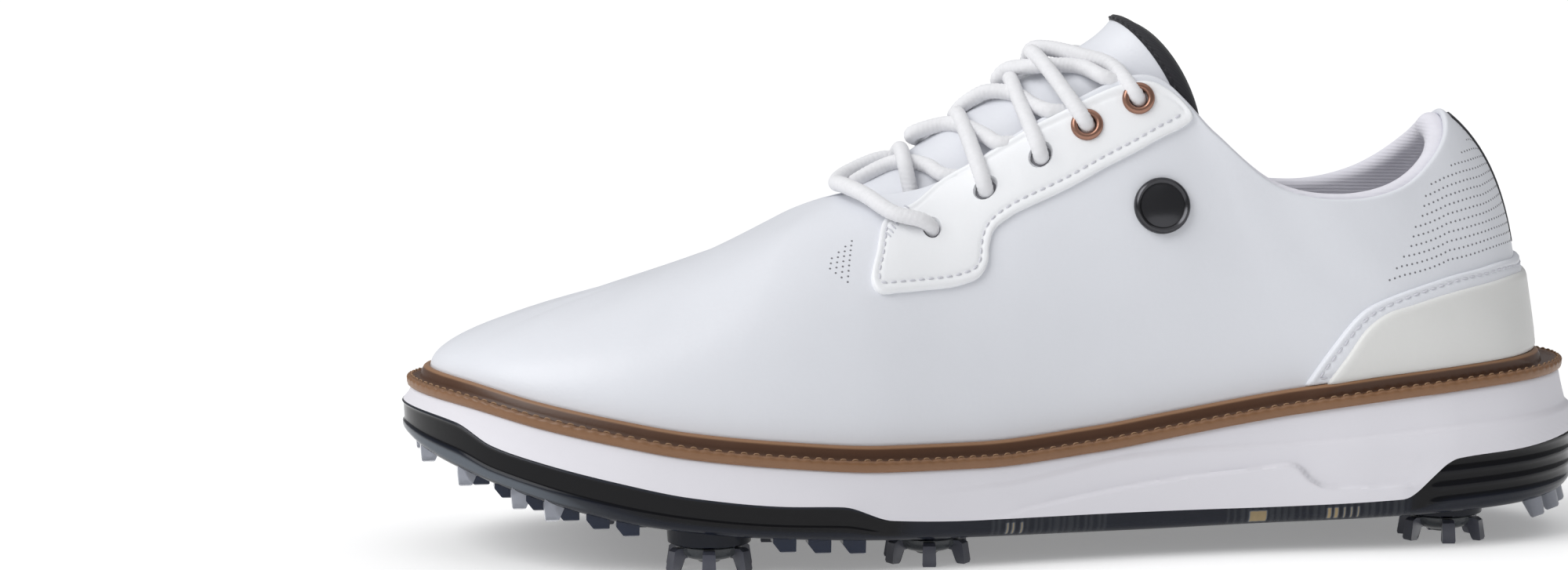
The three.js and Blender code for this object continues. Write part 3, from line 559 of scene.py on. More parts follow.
def domed(thickness, radius, groove=None, depth=.3, width=.55):
    """Height of a sewn piece: a rounded edge, with a groove where the stitches pull it down."""

    def height(distance, places):
        share = np.clip(1 - distance / radius, 0, 1)
        rise = thickness * np.sqrt(1 - share ** 2 * .96)
        if groove:
            rise = rise - depth * np.exp(-((distance - groove) / width) ** 2)
        return rise
    return height


# ---- Materials ----------------------------------------------------------------------

def finish(name, colour, roughness=.5, metal=0., coat=0., clear=0., sheen=0., spread=.04, cloud=60,
           patterns=(), tones=None, under=0., ior=1.5):
    """A procedural material: cloudy colour and roughness, and bump from named patterns.

    patterns: (kind, size in mm, height in mm). tones: colours picked by the points' tone value."""
    made = bpy.data.materials.new(name)
    made.use_nodes = True
    tree = made.node_tree
    surface = tree.nodes["Principled BSDF"]

    def node(kind, **inputs):
        new = tree.nodes.new("ShaderNode" + kind)
        for key, value in inputs.items():
            socket = new.inputs[key.replace("_", " ")]
            if isinstance(value, bpy.types.NodeSocket):
                tree.links.new(value, socket)
            else:
                socket.default_value = value
        return new

    place = node("TexCoord").outputs["Object"]
    clouds = node("TexNoise", Vector=place, Scale=float(cloud), Detail=4.0).outputs["Fac"]
    if tones:
        tone = node("Attribute")
        tone.attribute_name = "tone"
        ramp = tree.nodes.new("ShaderNodeValToRGB")
        ramp.color_ramp.interpolation = "LINEAR"
        stops = ramp.color_ramp.elements
        for i, shade in enumerate(tones):
            at = i / (len(tones) - 1)
            stop = stops[0] if i == 0 else stops[-1] if i == len(tones) - 1 else stops.new(at)
            stop.position, stop.color = at, (*shade, 1)
        tree.links.new(tone.outputs["Fac"], ramp.inputs["Fac"])
        base = ramp.outputs["Color"]
    else:
        base = node("RGB").outputs[0]
        base.default_value = (*colour, 1)
    darker = node("HueSaturation", Color=base, Value=1 - spread, Saturation=1 + spread)
    lighter = node("HueSaturation", Color=base, Value=1 + spread)
    mixed = tree.nodes.new("ShaderNodeMix")
    mixed.data_type = "RGBA"
    tree.links.new(clouds, mixed.inputs[0])
    tree.links.new(darker.outputs[0], mixed.inputs["A"])
    tree.links.new(lighter.outputs[0], mixed.inputs["B"])
    tree.links.new(mixed.outputs["Result"], surface.inputs["Base Color"])
    rough = node("MapRange", Value=clouds)
    rough.inputs["To Min"].default_value = max(roughness - .07, .02)
    rough.inputs["To Max"].default_value = min(roughness + .07, 1)
    tree.links.new(rough.outputs[0], surface.inputs["Roughness"])
    normal = None
    for kind, size, height in patterns:
        scale = 1 / (size * MM)
        if kind == "grain":
            texture = node("TexVoronoi", Vector=place, Scale=scale)
            texture.feature = "SMOOTH_F1"
            value = texture.outputs["Distance"]
        elif kind == "bands":
            texture = node("TexWave", Vector=place, Scale=scale / 3.2, Distortion=.6, Detail=1.0)
            texture.bands_direction = "DIAGONAL"
            value = texture.outputs["Fac"]
        elif kind == "ribs":
            texture = node("TexWave", Vector=place, Scale=scale / 3.2, Distortion=.4, Detail=1.0)
            texture.bands_direction = "Z"
            value = texture.outputs["Fac"]
        else:
            value = node("TexNoise", Vector=place, Scale=scale, Detail=3.0).outputs["Fac"]
        bump = node("Bump", Height=value, Strength=.6, Distance=height * MM)
        if normal:
            tree.links.new(normal, bump.inputs["Normal"])
        normal = bump.outputs["Normal"]
    if normal:
        tree.links.new(normal, surface.inputs["Normal"])
    surface.inputs["Metallic"].default_value = metal
    surface.inputs["Coat Weight"].default_value = coat
    surface.inputs["Coat Roughness"].default_value = .12
    surface.inputs["Transmission Weight"].default_value = clear
    surface.inputs["Sheen Weight"].default_value = sheen
    surface.inputs["Subsurface Weight"].default_value = under
    surface.inputs["Subsurface Scale"].default_value = 2 * MM
    surface.inputs["IOR"].default_value = ior
    return made


LEATHER_GRAIN = (("grain", .9, .05), ("noise", 6, .12))
WHITE = finish("white_leather", (.745, .76, .805), .42, spread=.015, patterns=LEATHER_GRAIN)
IVORY = finish("ivory_panel", (.72, .72, .705), .4, spread=.015, patterns=LEATHER_GRAIN)
THREAD = finish("white_thread", (.8, .79, .78), .7, spread=.05, cloud=900,
                patterns=(("bands", .35, .05),))
ROPE = finish("lace_cord", (.8, .8, .82), .78, sheen=.2, spread=.05, cloud=700,
              patterns=(("noise", .3, .08),))
TAN_THREAD = finish("tan_thread", (.3, .185, .11), .75, spread=.08, cloud=900,
                    patterns=(("bands", .35, .05),))
STAY_WHITE = finish("bright_leather", (.87, .88, .9), .4, spread=.015, patterns=LEATHER_GRAIN)
# White stitching coloured grey: painted shade for the shadows in the stitch holes and the grooves round each stitch.
PAINTED_SHADE_THREAD = finish("shaded_white_thread", (.62, .625, .67), .75, spread=.05, cloud=900,
                      patterns=(("bands", .35, .05),))
TAPE = finish("black_textile", (.012, .012, .016), .75, sheen=.15, spread=.2, cloud=900,
              patterns=(("bands", .5, .08),))
KNIT = finish("knit_lining", (.76, .75, .81), .85, sheen=.2, spread=.05, cloud=500,
              patterns=(("ribs", .9, .07), ("noise", .4, .06)))
# Grey-black colour for the lace holes and vent holes: painted shade for the holes' depths.
HOLE_SHADE = finish("punched_shadow", (.19, .19, .205), .9, spread=.15, cloud=800)
NICKEL = finish("black_nickel", (.06, .06, .065), .22, metal=.9, spread=.1,
                patterns=(("noise", 2, .02),))
COPPER = finish("rose_copper", (.34, .19, .14), .3, metal=.85, spread=.08,
                patterns=(("noise", 1.5, .02),))
WELT_BROWN = finish("brown_welt", (0, 0, 0), .45, coat=.04, spread=.08, cloud=120,
                    tones=[(.225, .115, .056), (.075, .03, .012), (.27, .145, .076)],
                    patterns=(("noise", .8, .05),))
FOAM = finish("midsole_foam", (.74, .73, .775), .58, spread=.012, under=.0,
              patterns=(("noise", .7, .03), ("noise", 9, .1)))
# The fourth tone, a pale grey, is painted highlight and painted reflection on the outsole's side.
RUBBER = finish("black_outsole", (0, 0, 0), .2, ior=1.3, spread=.15, cloud=90,
                tones=[(.003, .003, .004), (.008, .01, .017), (.03, .033, .04), (.11, .125, .145),
                       (.3, .235, .14)],
                patterns=(("noise", 3, .04),))
NAVY = finish("navy_lug", (.02, .028, .055), .15, clear=.3, ior=1.35, spread=.15,
              patterns=(("noise", 2, .04),))
FROST = finish("frosted_lug", (.42, .44, .5), .35, clear=.5, spread=.06,
               patterns=(("noise", 1, .05),))
SMOKE = finish("smoke_cleat", (.06, .07, .08), .18, clear=.45, spread=.15,
               patterns=(("noise", 2, .03),))
WEDGE = finish("cleat_leg", (.11, .115, .15), .3, clear=.4, spread=.06,
               patterns=(("noise", 1.2, .03),))
HIDDEN = {
    "shank": finish("shank_steel", (.4, .4, .42), .35, metal=1., spread=.05,
                    patterns=(("noise", 1, .02),)),
    "bottom_filler": finish("cork_filler", (.45, .3, .18), .9, spread=.25, cloud=500,
                            patterns=(("grain", 1.2, .2),)),
    "lasting_board": finish("fibre_board", (.5, .4, .28), .9, spread=.1, cloud=300,
                            patterns=(("noise", .6, .08),)),
    "stiffener": finish("stiffener_sheet", (.62, .6, .54), .8, spread=.08, cloud=200,
                        patterns=(("noise", .8, .05),)),
    "socket": finish("socket_plastic", (.03, .03, .035), .4, spread=.15,
                     patterns=(("noise", .8, .03),)),
    "tip": finish("clear_tip", (.7, .7, .72), .2, clear=.3, spread=.05,
                  patterns=(("noise", .5, .02),)),
    "footbed": finish("insole_fabric", (.5, .5, .55), .9, sheen=.2, spread=.08, cloud=600,
                      patterns=(("grain", .8, .1),)),
}


# ---- Upper --------------------------------------------------------------------------

def weld(points, faces):
    """Joins points that lie in the same place and drops faces that vanish."""
    points = np.asarray(points)
    _, first, number = np.unique(np.round(points, 4), axis=0, return_index=True, return_inverse=True)
    number = number.reshape(-1)
    kept = []
    for face in faces:
        ring = [number[i] for i in face]
        ring = [v for k, v in enumerate(ring) if v != ring[k - 1]]
        if len(set(ring)) > 2:
            kept.append(tuple(int(v) for v in ring))
    return points[first], kept


def roll_share(s):
    """How far the top edge is rolled: not on the closed vamp, fully round the throat and collar."""
    return smooth(RIDGE_END, RIDGE_END + 1.2, station_of(s))


def roll_start(s):
    """The height share at which the outer face turns into the rolled edge."""
    rise = np.linalg.norm(upper_face(s, 1) - upper_face(s, .99), axis=-1) / .01
    return 1 - LEATHER / 2 * roll_share(s) / rise


def add_upper():
    s = np.arange(AROUND * 18) / 18
    end, share, radius = roll_start(s), roll_share(s), LEATHER / 2
    rows = [on_upper(s, end * t, np.zeros_like(s)) for t in 1 - (1 - np.linspace(0, 1, 56)) ** 1.1]
    outer_rows = len(rows)
    normal = upper_normal(s, end)
    up = unit(upper_face(s, end) - upper_face(s, end - .004))
    centre = upper_face(s, end) - normal * radius
    for turn in np.linspace(0, math.pi, 8)[1:-1]:
        swing = np.cos(turn) * normal + np.sin(turn) * up * share[:, None]
        rows.append(centre + swing * radius)
    roll_rows = len(rows)
    for t in np.linspace(1, 0, 16):
        at = end * t
        rows.append(upper_face(s, at) - (normal if t == 1 else upper_normal(s, at)) * LEATHER)
    ridge = station_of(s) <= RIDGE_END

    def keep(row, column):
        rolled = outer_rows - 1 <= row < roll_rows
        return not (rolled and ridge[column] and ridge[(column + 1) % len(s)])
    rings = np.array(rows)
    faces = grid_faces(*rings.shape[:2], wrap_rows=True, wrap_columns=True, keep=keep)
    points, faces = weld(rings.reshape(-1, 3), faces)
    build("upper", points, turned_out(points, faces), WHITE, slot="white_leather",
          stands_for=["upper_shell"], smooth_angle=70)


def section_band(s, section):
    """Closed band along the ring: section(s) gives (count, points, 3) with two matching halves."""
    rings = section(s)
    count = rings.shape[1]
    faces = grid_faces(len(s), count, wrap_columns=True)
    last = (len(s) - 1) * count
    for k in range(count // 2 - 1):
        faces.append((k, k + 1, count - k - 2, count - k - 1))
        faces.append((last + k + 1, last + k, last + count - k - 1, last + count - k - 2))
    points = rings.reshape(-1, 3)
    return points, turned_out(points, faces)


# Half the thickness of the padded roll at the top of the lining, by station.
PADDING = ([5.4, 8.2, 9.6, 11.5, 13, 14], [.7, .75, 2.1, 2.5, 3, 3.6])
LINING = 1.3


def stiffener_depth(s, share):
    """How deep the heel's stiffener pushes the lining in."""
    return 1.6 * smooth(10.3, 11, station_of(s)) * (1 - smooth(.66, .78, share))


def add_lining():
    s = np.linspace(5.4, AROUND - 5.4, 460)
    low = np.linspace(.14, 1, 26)

    def section(s):
        end = roll_start(s)
        half = np.interp(station_of(s), *PADDING)
        normal = upper_normal(s, end)
        up = unit(upper_face(s, end) - upper_face(s, end - .004))
        outer = []
        for share in low:
            depth = LEATHER + .08 + stiffener_depth(s, share)
            outer.append(upper_face(s, end * share) - upper_normal(s, end * share) * depth[:, None])
        centre = upper_face(s, end) - normal * (LEATHER + .08 + half)[:, None]
        roll = [centre + (math.cos(turn) * normal + math.sin(turn) * up) * half[:, None]
                for turn in np.linspace(0, math.pi, 14)[1:-1]]
        inner = []
        for share in low[::-1]:
            thick = LINING + (2 * half - LINING) * smooth(.42, .88, share)
            thick = np.maximum(thick, LINING + stiffener_depth(s, share))
            face, out = upper_face(s, end * share), upper_normal(s, end * share)
            inner.append(face - out * (LEATHER + .08 + thick)[:, None])
        return np.stack(outer + roll + inner, 1)
    points, faces = section_band(s, section)
    build("collar_lining_knit", points, faces, KNIT, slot="knit_lining",
          stands_for=["collar_lining", "collar_padding"], smooth_angle=80)


EYESTAY_EDGE = [
    [-34.2, 85], [-37.5, 78], [-39.8, 71.3], [-38.4, 68.3], [-33, 68.2], [-26, 68.6], [-17, 69.5],
    [-11.5, 71.6], [-9.2, 75], [-8.6, 78.5], [-6.9, 82.7], [-2.5, 86], [8, 90.8], [20, 96.8],
    [32.4, 103.1], [41.5, 107.6]]
THROAT_END, THROAT_START = 8.62, 6.02
LACE_HOLES = [(5.78, .723), (6.37, .82), (6.87, .843), (7.32, .88), (7.84, .913)]
METAL_HOLES = (3, 4)
HOLE_RADIUS = 2.5


def eyestay_loop():
    outer = find_on_upper(EYESTAY_EDGE)
    throat = [(s, .975) for s in np.linspace(THROAT_END, THROAT_START, 7)]
    corner = find_on_upper([[-26, 88.6]])
    loop = flat(np.concatenate([outer, throat, corner]))
    return through(loop, closed=True, step=1.1) / [RING_SCALE, HEIGHT_SCALE]


def mirror(places):
    return np.asarray(places) * [-1, 1] + [AROUND, 0]


def row_on_upper(parts, loop, distance, length, gap, radius, lift, below=None):
    """Stitches inside a loop's edge; below gives the height shares that they stay under."""
    line = inset(flat(loop), distance) / [RING_SCALE, HEIGHT_SCALE]
    sewn = line[:, 1] < np.interp(line[:, 0], *below) if below else np.ones(len(line), bool)
    if sewn.all():
        line = np.concatenate([line, line[:1]])
    else:
        first = np.argmax(sewn & ~np.roll(sewn, 1))
        line = np.roll(line, -first, 0)[:sewn.sum()]
    points = on_upper(line[:, 0], line[:, 1], np.full(len(line), lift))
    stitch_row(parts, points, upper_normal(line[:, 0], line[:, 1]), length, gap, radius)


STAY_THICKNESS = 1.45
# Ring places and the height shares below which the eyestays are sewn: not along the throat.
SEWN_BELOW = ([5.7, 6.1, 6.4, AROUND - 6.4, AROUND - 6.1, AROUND - 5.7], [.74, .8, .92, .92, .8, .74])


def add_eyestays():
    lateral = eyestay_loop()
    for side, loop in (("lateral", lateral), ("medial", mirror(lateral)[::-1])):
        holes = [(hole if side == "lateral" else tuple(mirror(hole)), HOLE_RADIUS)
                 for hole in LACE_HOLES]
        shape = domed(STAY_THICKNESS, .55, groove=2.1, depth=.3, width=.42)
        points, faces = patch(loop, shape, holes=holes, spacing=2.6,
                              steps=(.12, .3, .6, 1.1, 1.6, 2.1, 2.6, 3.4))
        build("eyestay_" + side + "_leather", points, turned_out(points, faces), STAY_WHITE,
              slot="white_leather", stands_for=["eyestay_" + side], smooth_angle=60)
        threads = Parts()
        row_on_upper(threads, loop, 2.1, 1.5, .95, .27, STAY_THICKNESS - .2,
                     below=SEWN_BELOW)
        tack = loop[0] if side == "lateral" else loop[-1]
        add_bartack(threads, tack, side)
        threads.build("eyestay_" + side + "_stitches", PAINTED_SHADE_THREAD, slot="white_leather")
        add_holes(side, holes)


def add_bartack(threads, corner, side):
    """A dense zigzag at the front of the eyestay, where it takes the lace's pull."""
    s, t = corner
    sign = 1 if side == "lateral" else -1
    for i in range(9):
        a = (s + sign * (.02 + .03 * i), t - .075 + .018 * i)
        b = (s + sign * (.09 + .03 * i), t - .1 + .018 * i)
        ends = [on_upper(*place, STAY_THICKNESS - .05) for place in (a, b)]
        threads.add(*capsule(*ends, upper_normal(*a), .24))


def add_holes(side, holes):
    """Dark discs behind the lace holes: painted shade for their bores."""
    bores = Parts()
    for i, ((s, t), radius) in enumerate(holes):
        profile = [[0, -.5], [radius + .4, -.5], [radius + .4, .06], [radius * .6, .1], [0, .1]]
        points, faces = lathe(profile, 24)
        bores.add(stand(points, on_upper(s, t), upper_normal(s, t)), faces)
    bores.build("lace_hole_shade_" + side, HOLE_SHADE, slot="black_textile")
    for i, end in zip(METAL_HOLES, ("front", "rear")):
        (s, t), _ = holes[i]
        seat = STAY_THICKNESS
        section = [[2.35, -.6], [2.35, seat + .45], [2.6, seat + .95], [3.1, seat + 1.1],
                   [3.65, seat + .95], [4.05, seat + .55], [4.15, seat], [4.0, seat - .35],
                   [2.9, seat - .4], [2.9, -.6]]
        points, faces = ring_of_section(section, 40)
        points = stand(points, on_upper(s, t), upper_normal(s, t))
        name = "eyelet_" + side + "_" + end
        build(name + "_ring", points, turned_out(points, faces), COPPER, slot="copper",
              stands_for=[name], smooth_angle=60)


HEEL_EDGE = [
    [73.1, 42.2], [78.2, 49.8], [84.2, 57.5], [89.5, 62.1], [99, 65.8], [112.6, 69.3],
    [124, 71.2], [135, 72.2]]
PANEL_EDGE = [
    [78.7, 43], [83.3, 49.5], [88.4, 56.5], [94.3, 60.6], [101, 62.4], [109, 64.4],
    [117, 65.9], [127, 67.5], [136.5, 68.5]]
COVER_THICKNESS, PANEL_THICKNESS = 1.5, 1.3
HEEL_FOOT = .016  # height share at which the heel's pieces start, behind the welt's bead


def heel_loop(edge, back_height, foot):
    """A loop round the heel whose top is given on the lateral side and mirrored on the other."""
    top = find_on_upper(edge)
    back = np.interp(back_height, upper_face(LAST, np.linspace(0, 1, 200))[:, 2],
                     np.linspace(0, 1, 200))
    start = top[0] * [1, 0] + [0, foot]
    half = np.concatenate([[start], top])
    bottom = [(s, foot) for s in np.linspace(AROUND - start[0], start[0], 14)[1:-1]]
    loop = np.concatenate([half, [[LAST, back]], mirror(half)[::-1], bottom])
    return through(flat(loop), closed=True, step=1.3) / [RING_SCALE, HEIGHT_SCALE]


def over_cover(s, t, depth):
    return on_upper(s, t, depth + COVER_THICKNESS - .2)


def add_heel():
    cover = heel_loop(HEEL_EDGE, 73.0, HEEL_FOOT)
    shape = domed(COVER_THICKNESS, 1.2, groove=1.9, depth=.4)
    points, faces = patch(cover, shape, spacing=3.2, steps=(.35, .8, 1.4, 1.9, 2.4, 3.2))
    build("heel_cover_leather", points, turned_out(points, faces), WHITE, slot="white_leather",
          stands_for=["heel_cover"], smooth_angle=60)
    panel = heel_loop(PANEL_EDGE, 69.2, HEEL_FOOT)
    points, faces = patch(panel, domed(PANEL_THICKNESS, 1.6), spacing=3.2, steps=(.35, .8, 1.6, 2.4),
                          lay=over_cover)
    build("heel_panel", points, turned_out(points, faces), IVORY, slot="ivory_panel",
          smooth_angle=60)
    threads = Parts()
    row_on_upper(threads, cover, 1.9, 1.8, .75, .27, COVER_THICKNESS - .3)
    threads.build("heel_stitches", PAINTED_SHADE_THREAD, slot="white_leather")


def perforations(parts, places, radius):
    """Small punched vent holes, shown as dark discs set in the leather: painted shade for the holes' depths."""
    profile = [[0, -.4], [radius, -.4], [radius, .03], [radius * .5, .05], [0, .05]]
    disc, faces = lathe(profile, 10)
    s, t = np.array(places).T
    for place, normal in zip(on_upper(s, t), upper_normal(s, t)):
        parts.add(stand(disc, place, normal), faces)


TOE_VENTS = [[-42.6, 80.5], [-49.4, 75.4], [-44.9, 71.3]]
# The heel's vents lie in rows along the heel cover's top edge; each row starts farther back.
VENT_RUN = [[95, 64.6], [99, 65.8], [112.6, 69.3], [124, 71.2], [135, 72.2]]
VENT_ROWS, VENT_FIRST_ROW, VENT_ROW_PITCH = 16, 4.2, 2.3
VENT_FRONT = ([69.1, 78.1, 90.2, 93.2, 96.4, 99.6, 102.8], [95.2, 101.3, 106.4, 108.7, 113.6, 118.1, 122.2])
VENT_PITCH, VENT_RADIUS = 1.5, .28


def add_perforations():
    vents, places = Parts(), []
    top, tip, low = find_on_upper(TOE_VENTS)
    for column in range(4):
        back = column / 3.5
        centre = tip + ((top + low) / 2 - tip) * back
        count = 3 + 2 * column
        for k in range(count):
            across = (k - (count - 1) / 2) / 8 * 1.02
            place = centre + (top - low) * across
            places += [place, mirror(place)]
    for row in range(VENT_ROWS):
        lift = VENT_FIRST_ROW + row * VENT_ROW_PITCH
        edge = find_on_upper([[x, z + lift] for x, z in VENT_RUN])
        line = np.linspace(edge[0, 0], LAST, 300)
        share = np.interp(line, edge[:, 0], edge[:, 1])
        face = upper_face(line, share)
        run = np.concatenate([[0], np.cumsum(np.linalg.norm(np.diff(face, axis=0), axis=1))])
        for distance in np.arange(VENT_PITCH * (.25 + .5 * (row % 2)), run[-1] - 4.6, VENT_PITCH):
            s, t = np.interp(distance, run, line), np.interp(distance, run, share)
            x, _, z = upper_face(s, t)
            if x > np.interp(z, *VENT_FRONT):
                places += [(s, t), (AROUND - s, t)]
    perforations(vents, places, VENT_RADIUS)
    vents.build("vent_holes", HOLE_SHADE, slot="black_textile")


def add_backstay():
    """The thin strip that covers the seam up the back of the heel."""
    t = np.linspace(.44, .975, 26)
    across = np.array([-4, -3.8, -3, 0, 3, 3.8, 4, 3.8, 3, 0, -3, -3.8])
    depth = np.array([.1, .4, .55, .6, .55, .4, .1, -.3, -.3, -.3, -.3, -.3])
    rings = []
    for share in t:
        width = np.linalg.norm(upper_face(LAST + .2, share) - upper_face(LAST - .2, share)) / .4
        rings.append(on_upper(LAST + across / width, np.full(12, share * roll_start(LAST)), depth))
    rings = np.array(rings)
    faces = grid_faces(*rings.shape[:2], wrap_columns=True)
    faces.append(tuple(range(12)))
    faces.append(tuple(range(25 * 12, 26 * 12))[::-1])
    points = rings.reshape(-1, 3)
    build("backstay_tape", points, turned_out(points, faces), TAPE, slot="black_textile",
          stands_for=["backstay"], smooth_angle=60)


BADGE_PLACE, BADGE_RADIUS = (7.9, .58), 7.2


def add_badge():
    """A plain domed disc with a raised rim."""
    r = BADGE_RADIUS
    profile = [[0, -.4], [r, -.4], [r, .9], [r - .3, 1.5], [r - .8, 1.75], [r - 1.3, 1.5],
               [r - 1.6, 1.1], [r - 2.2, 1.25], [r - 3.6, 1.7], [r - 5.6, 2.0], [0, 2.1]]
    points, faces = lathe(profile, 56)
    points = stand(points, on_upper(*BADGE_PLACE), upper_normal(*BADGE_PLACE))
    build("side_badge_disc", points, turned_out(points, faces), NICKEL, slot="black_nickel",
          stands_for=["side_badge"], smooth_angle=40)


# ---- Tongue and lace ----------------------------------------------------------------

def spline_at(points, u):
    """Uniform Catmull-Rom spline through open points, u from 0 to 1."""
    points = np.asarray(points, float)
    last = len(points) - 1
    at = np.clip(u, 0, 1) * last
    i = np.minimum(np.floor(at).astype(int), last - 1)
    f = (at - i)[..., None]
    extended = np.concatenate([[2 * points[0] - points[1]], points, [2 * points[-1] - points[-2]]])
    a, b, c, d = (extended[i + k] for k in range(4))
    m1, m2 = (c - a) / 2, (d - b) / 2
    return (b * (2 * f ** 3 - 3 * f ** 2 + 1) + c * (3 * f ** 2 - 2 * f ** 3)
            + m1 * (f ** 3 - 2 * f ** 2 + f) + m2 * (f ** 3 - f ** 2))


TONGUE_CENTRE = [[-50, 1, 84], [-30, 2, 96.5], [-14, 2.3, 107.4], [2, 2.3, 117], [16, 1.5, 124.6],
                 [25, 0, 130.5], [30.5, 0, 136]]
TONGUE_EDGE = [[-48, 12.5, 80.5], [-29, 14.5, 78.5], [-14, 16, 81.5], [3, 17, 89], [20, 17, 97],
               [36, 17.5, 102], [49, 19, 107]]
MEDIAL_NARROW = .88
TONGUE_THICKNESS = 3.2


def tongue_face(u, v):
    """Upper face of the tongue: u along it, v across it from the lateral edge (-1)."""
    u, v = np.broadcast_arrays(np.asarray(u, float), np.asarray(v, float))
    side = np.where(v < 0, -1., 1.)
    centre, edge = spline_at(TONGUE_CENTRE, u), spline_at(TONGUE_EDGE, u)
    edge[..., 1] *= np.where(v > 0, MEDIAL_NARROW, -1)
    width, drop = np.abs(edge[..., 1]), centre[..., 2] - edge[..., 2]
    back = edge[..., 0] - centre[..., 0]
    roundness = .52 + .28 * u ** 4
    crown = centre + point(.1 * back, side * roundness * width, 0)
    spread = 1 - .14 * (1 - u) ** .5
    shoulder = edge * point(1, spread, 1) + point(-.25 * back, 0, (roundness - .15) * drop)
    w = np.abs(v)[..., None]
    r = 1 - w
    return centre * r ** 3 + crown * 3 * r * r * w + shoulder * 3 * r * w * w + edge * w ** 3


def tongue_normal(u, v):
    step = 1e-3
    along = tongue_face(np.minimum(u + step, 1), v) - tongue_face(np.maximum(u - step, 0), v)
    across = tongue_face(u, v + step) - tongue_face(u, v - step)
    return unit(np.cross(along, across))


def on_tongue(u, v, depth):
    return tongue_face(u, v) + tongue_normal(u, v) * np.asarray(depth, float)[..., None]


TONGUE_END, TAPE_START = .975, .952


def add_tongue():
    u = np.linspace(0, TONGUE_END, 90)
    v = np.linspace(-1, 1, 41)
    half = TONGUE_THICKNESS / 2
    round_off = np.sqrt(1 - np.clip((np.abs(v) - .93) / .07, 0, 1) ** 2 * .9)
    U, V = np.meshgrid(u, v, indexing="ij")
    top = on_tongue(U, V, -half + half * round_off * np.ones_like(U))
    low = on_tongue(U, V, -half - half * round_off * np.ones_like(U))
    rings = np.concatenate([top, low[:, ::-1]], 1)
    count = rings.shape[1]
    faces = grid_faces(len(u), count, wrap_columns=True)
    last = (len(u) - 1) * count
    for k in range(len(v) - 1):
        faces.append((k + 1, k, count - k - 1, count - k - 2))
        faces.append((last + k, last + k + 1, last + count - k - 2, last + count - k - 1))
    points = rings.reshape(-1, 3)
    build("tongue_leather", points, turned_out(points, faces), WHITE, body="tongue",
          slot="white_leather", stands_for=["tongue"], smooth_angle=70)
    profile = [(0, .1), (.03, .45), (.25, .6), (.5, .65), (.75, .5), (.94, -.1), (1, -1.6),
               (.94, -3.1), (.75, -3.7), (.5, -3.85), (.25, -3.8), (0, -3.3), (.1, -2.2), (.1, -.8)]
    profile = [(TAPE_START + (1 - TAPE_START) * share, height) for share, height in profile]
    tape = np.array([on_tongue(np.full_like(v, a), v, np.full_like(v, b)) for a, b in profile])
    rings = tape.transpose(1, 0, 2)
    count = rings.shape[1]
    faces = grid_faces(len(v), count, wrap_columns=True)
    faces.append(tuple(range(count)))
    last = (len(v) - 1) * count
    faces.append(tuple(last + k for k in range(count))[::-1])
    points = rings.reshape(-1, 3)
    build("tongue_tape", points, turned_out(points, faces), TAPE, body="tongue",
          slot="black_textile", stands_for=["tongue_binding"], smooth_angle=70)
    threads = Parts()
    across = np.linspace(-.97, .97, 120)
    seam = np.full_like(across, TAPE_START + .012)
    line = on_tongue(seam, across, np.full_like(across, .62))
    stitch_row(threads, line, tongue_normal(seam, across), 1.6, .8, .26)
    threads.build("tongue_stitches", TAPE, body="tongue", slot="black_textile")


LACE_RADIUS = 2.0
# Points of the cord between the lace holes. The cord starts as a bar under the front pair of holes;
# a strand that leaves a little-toe side hole lies over the one that leaves the hole across from it.
START_BAR = [(-25, 9.6, 89.4), (-26.2, 7, 98.2), (-26.3, 0, 101.6), (-26.6, -8, 98.6),
             (-24.6, -10.5, 89.4)]
OVER_STRANDS = [
    [(-32.4, -25.4, 87.3), (-38.4, -17, 91.3), (-42.2, -8.6, 93), (-43, 0, 93.2), (-39.2, 6.4, 95), (-28, 10.5, 98.4),
     (-17.5, 12, 95.8)],
    [(-10.8, -8.2, 106.9), (-11.3, 0, 110.5), (-9.4, 6, 107), (-3.6, 14.7, 103.9)],
    [(3, -8.2, 115), (2.7, 0, 119.4), (4.8, 6, 116), (9.2, 14.7, 112.1)],
    [(9.9, -8.2, 123.4), (8.2, 0, 126.3), (12, 6, 121.8), (23.5, 15.6, 120.6)],
    [(26, -12.5, 123.6), (19.2, -6.4, 125.8), (12.6, 1, 127.2), (9.5, 6, 126.6), (10, 12, 121),
     (13, 15, 116.5)]]
UNDER_STRANDS = [
    [(-35.5, 9, 89.6), (-38.6, 5.4, 91), (-36, 1.5, 94.2), (-28.7, -1, 97.8), (-24.6, -4, 98.2),
     (-20.6, -8, 97.8), (-17.5, -13, 95.8)],
    [(-16.5, 10.5, 102.2), (-22.7, 3, 105.1), (-14.4, 0, 107.4), (-9.8, -4, 106.6),
     (-6.1, -10, 105.6), (-3.6, -16, 103.9)],
    [(-4.5, 10.5, 110.2), (-10.2, 4, 111.2), (-4.1, 0, 116), (3.4, -4, 114.8), (6.4, -10, 113.4),
     (9.2, -16, 112.1)],
    [(6, 10, 118.6), (.1, 4, 118.9), (1.9, 3, 121.4), (8.7, -4, 122.9), (18.7, -8, 123),
     (23.5, -17, 120.6)],
    [(24, 14, 125), (20, 9, 124.5), (21, 10, 119)]]


def through_hole(index, lateral, target):
    """The way through a lace hole from inside the shoe, and off the stay towards the target."""
    s, t = LACE_HOLES[index]
    s = s if lateral else AROUND - s
    mouth = on_upper(s, t, STAY_THICKNESS + LACE_RADIUS * .8)
    lifted = mouth + unit(np.array(target, float) - mouth) * 2.4
    return [on_upper(s, (1 + t) / 2, -4.8), on_upper(s, t, -2.8), on_upper(s, t, .8), lifted]


def half_lace(starts_lateral):
    path = []
    for index in range(len(LACE_HOLES)):
        lateral = starts_lateral == (index % 2 == 0)
        strand = resting((OVER_STRANDS if lateral else UNDER_STRANDS)[index])
        path += through_hole(index, lateral, strand[0]) + strand
    return path


LACE_SINK = .9  # how deep the cord presses into the padded tongue


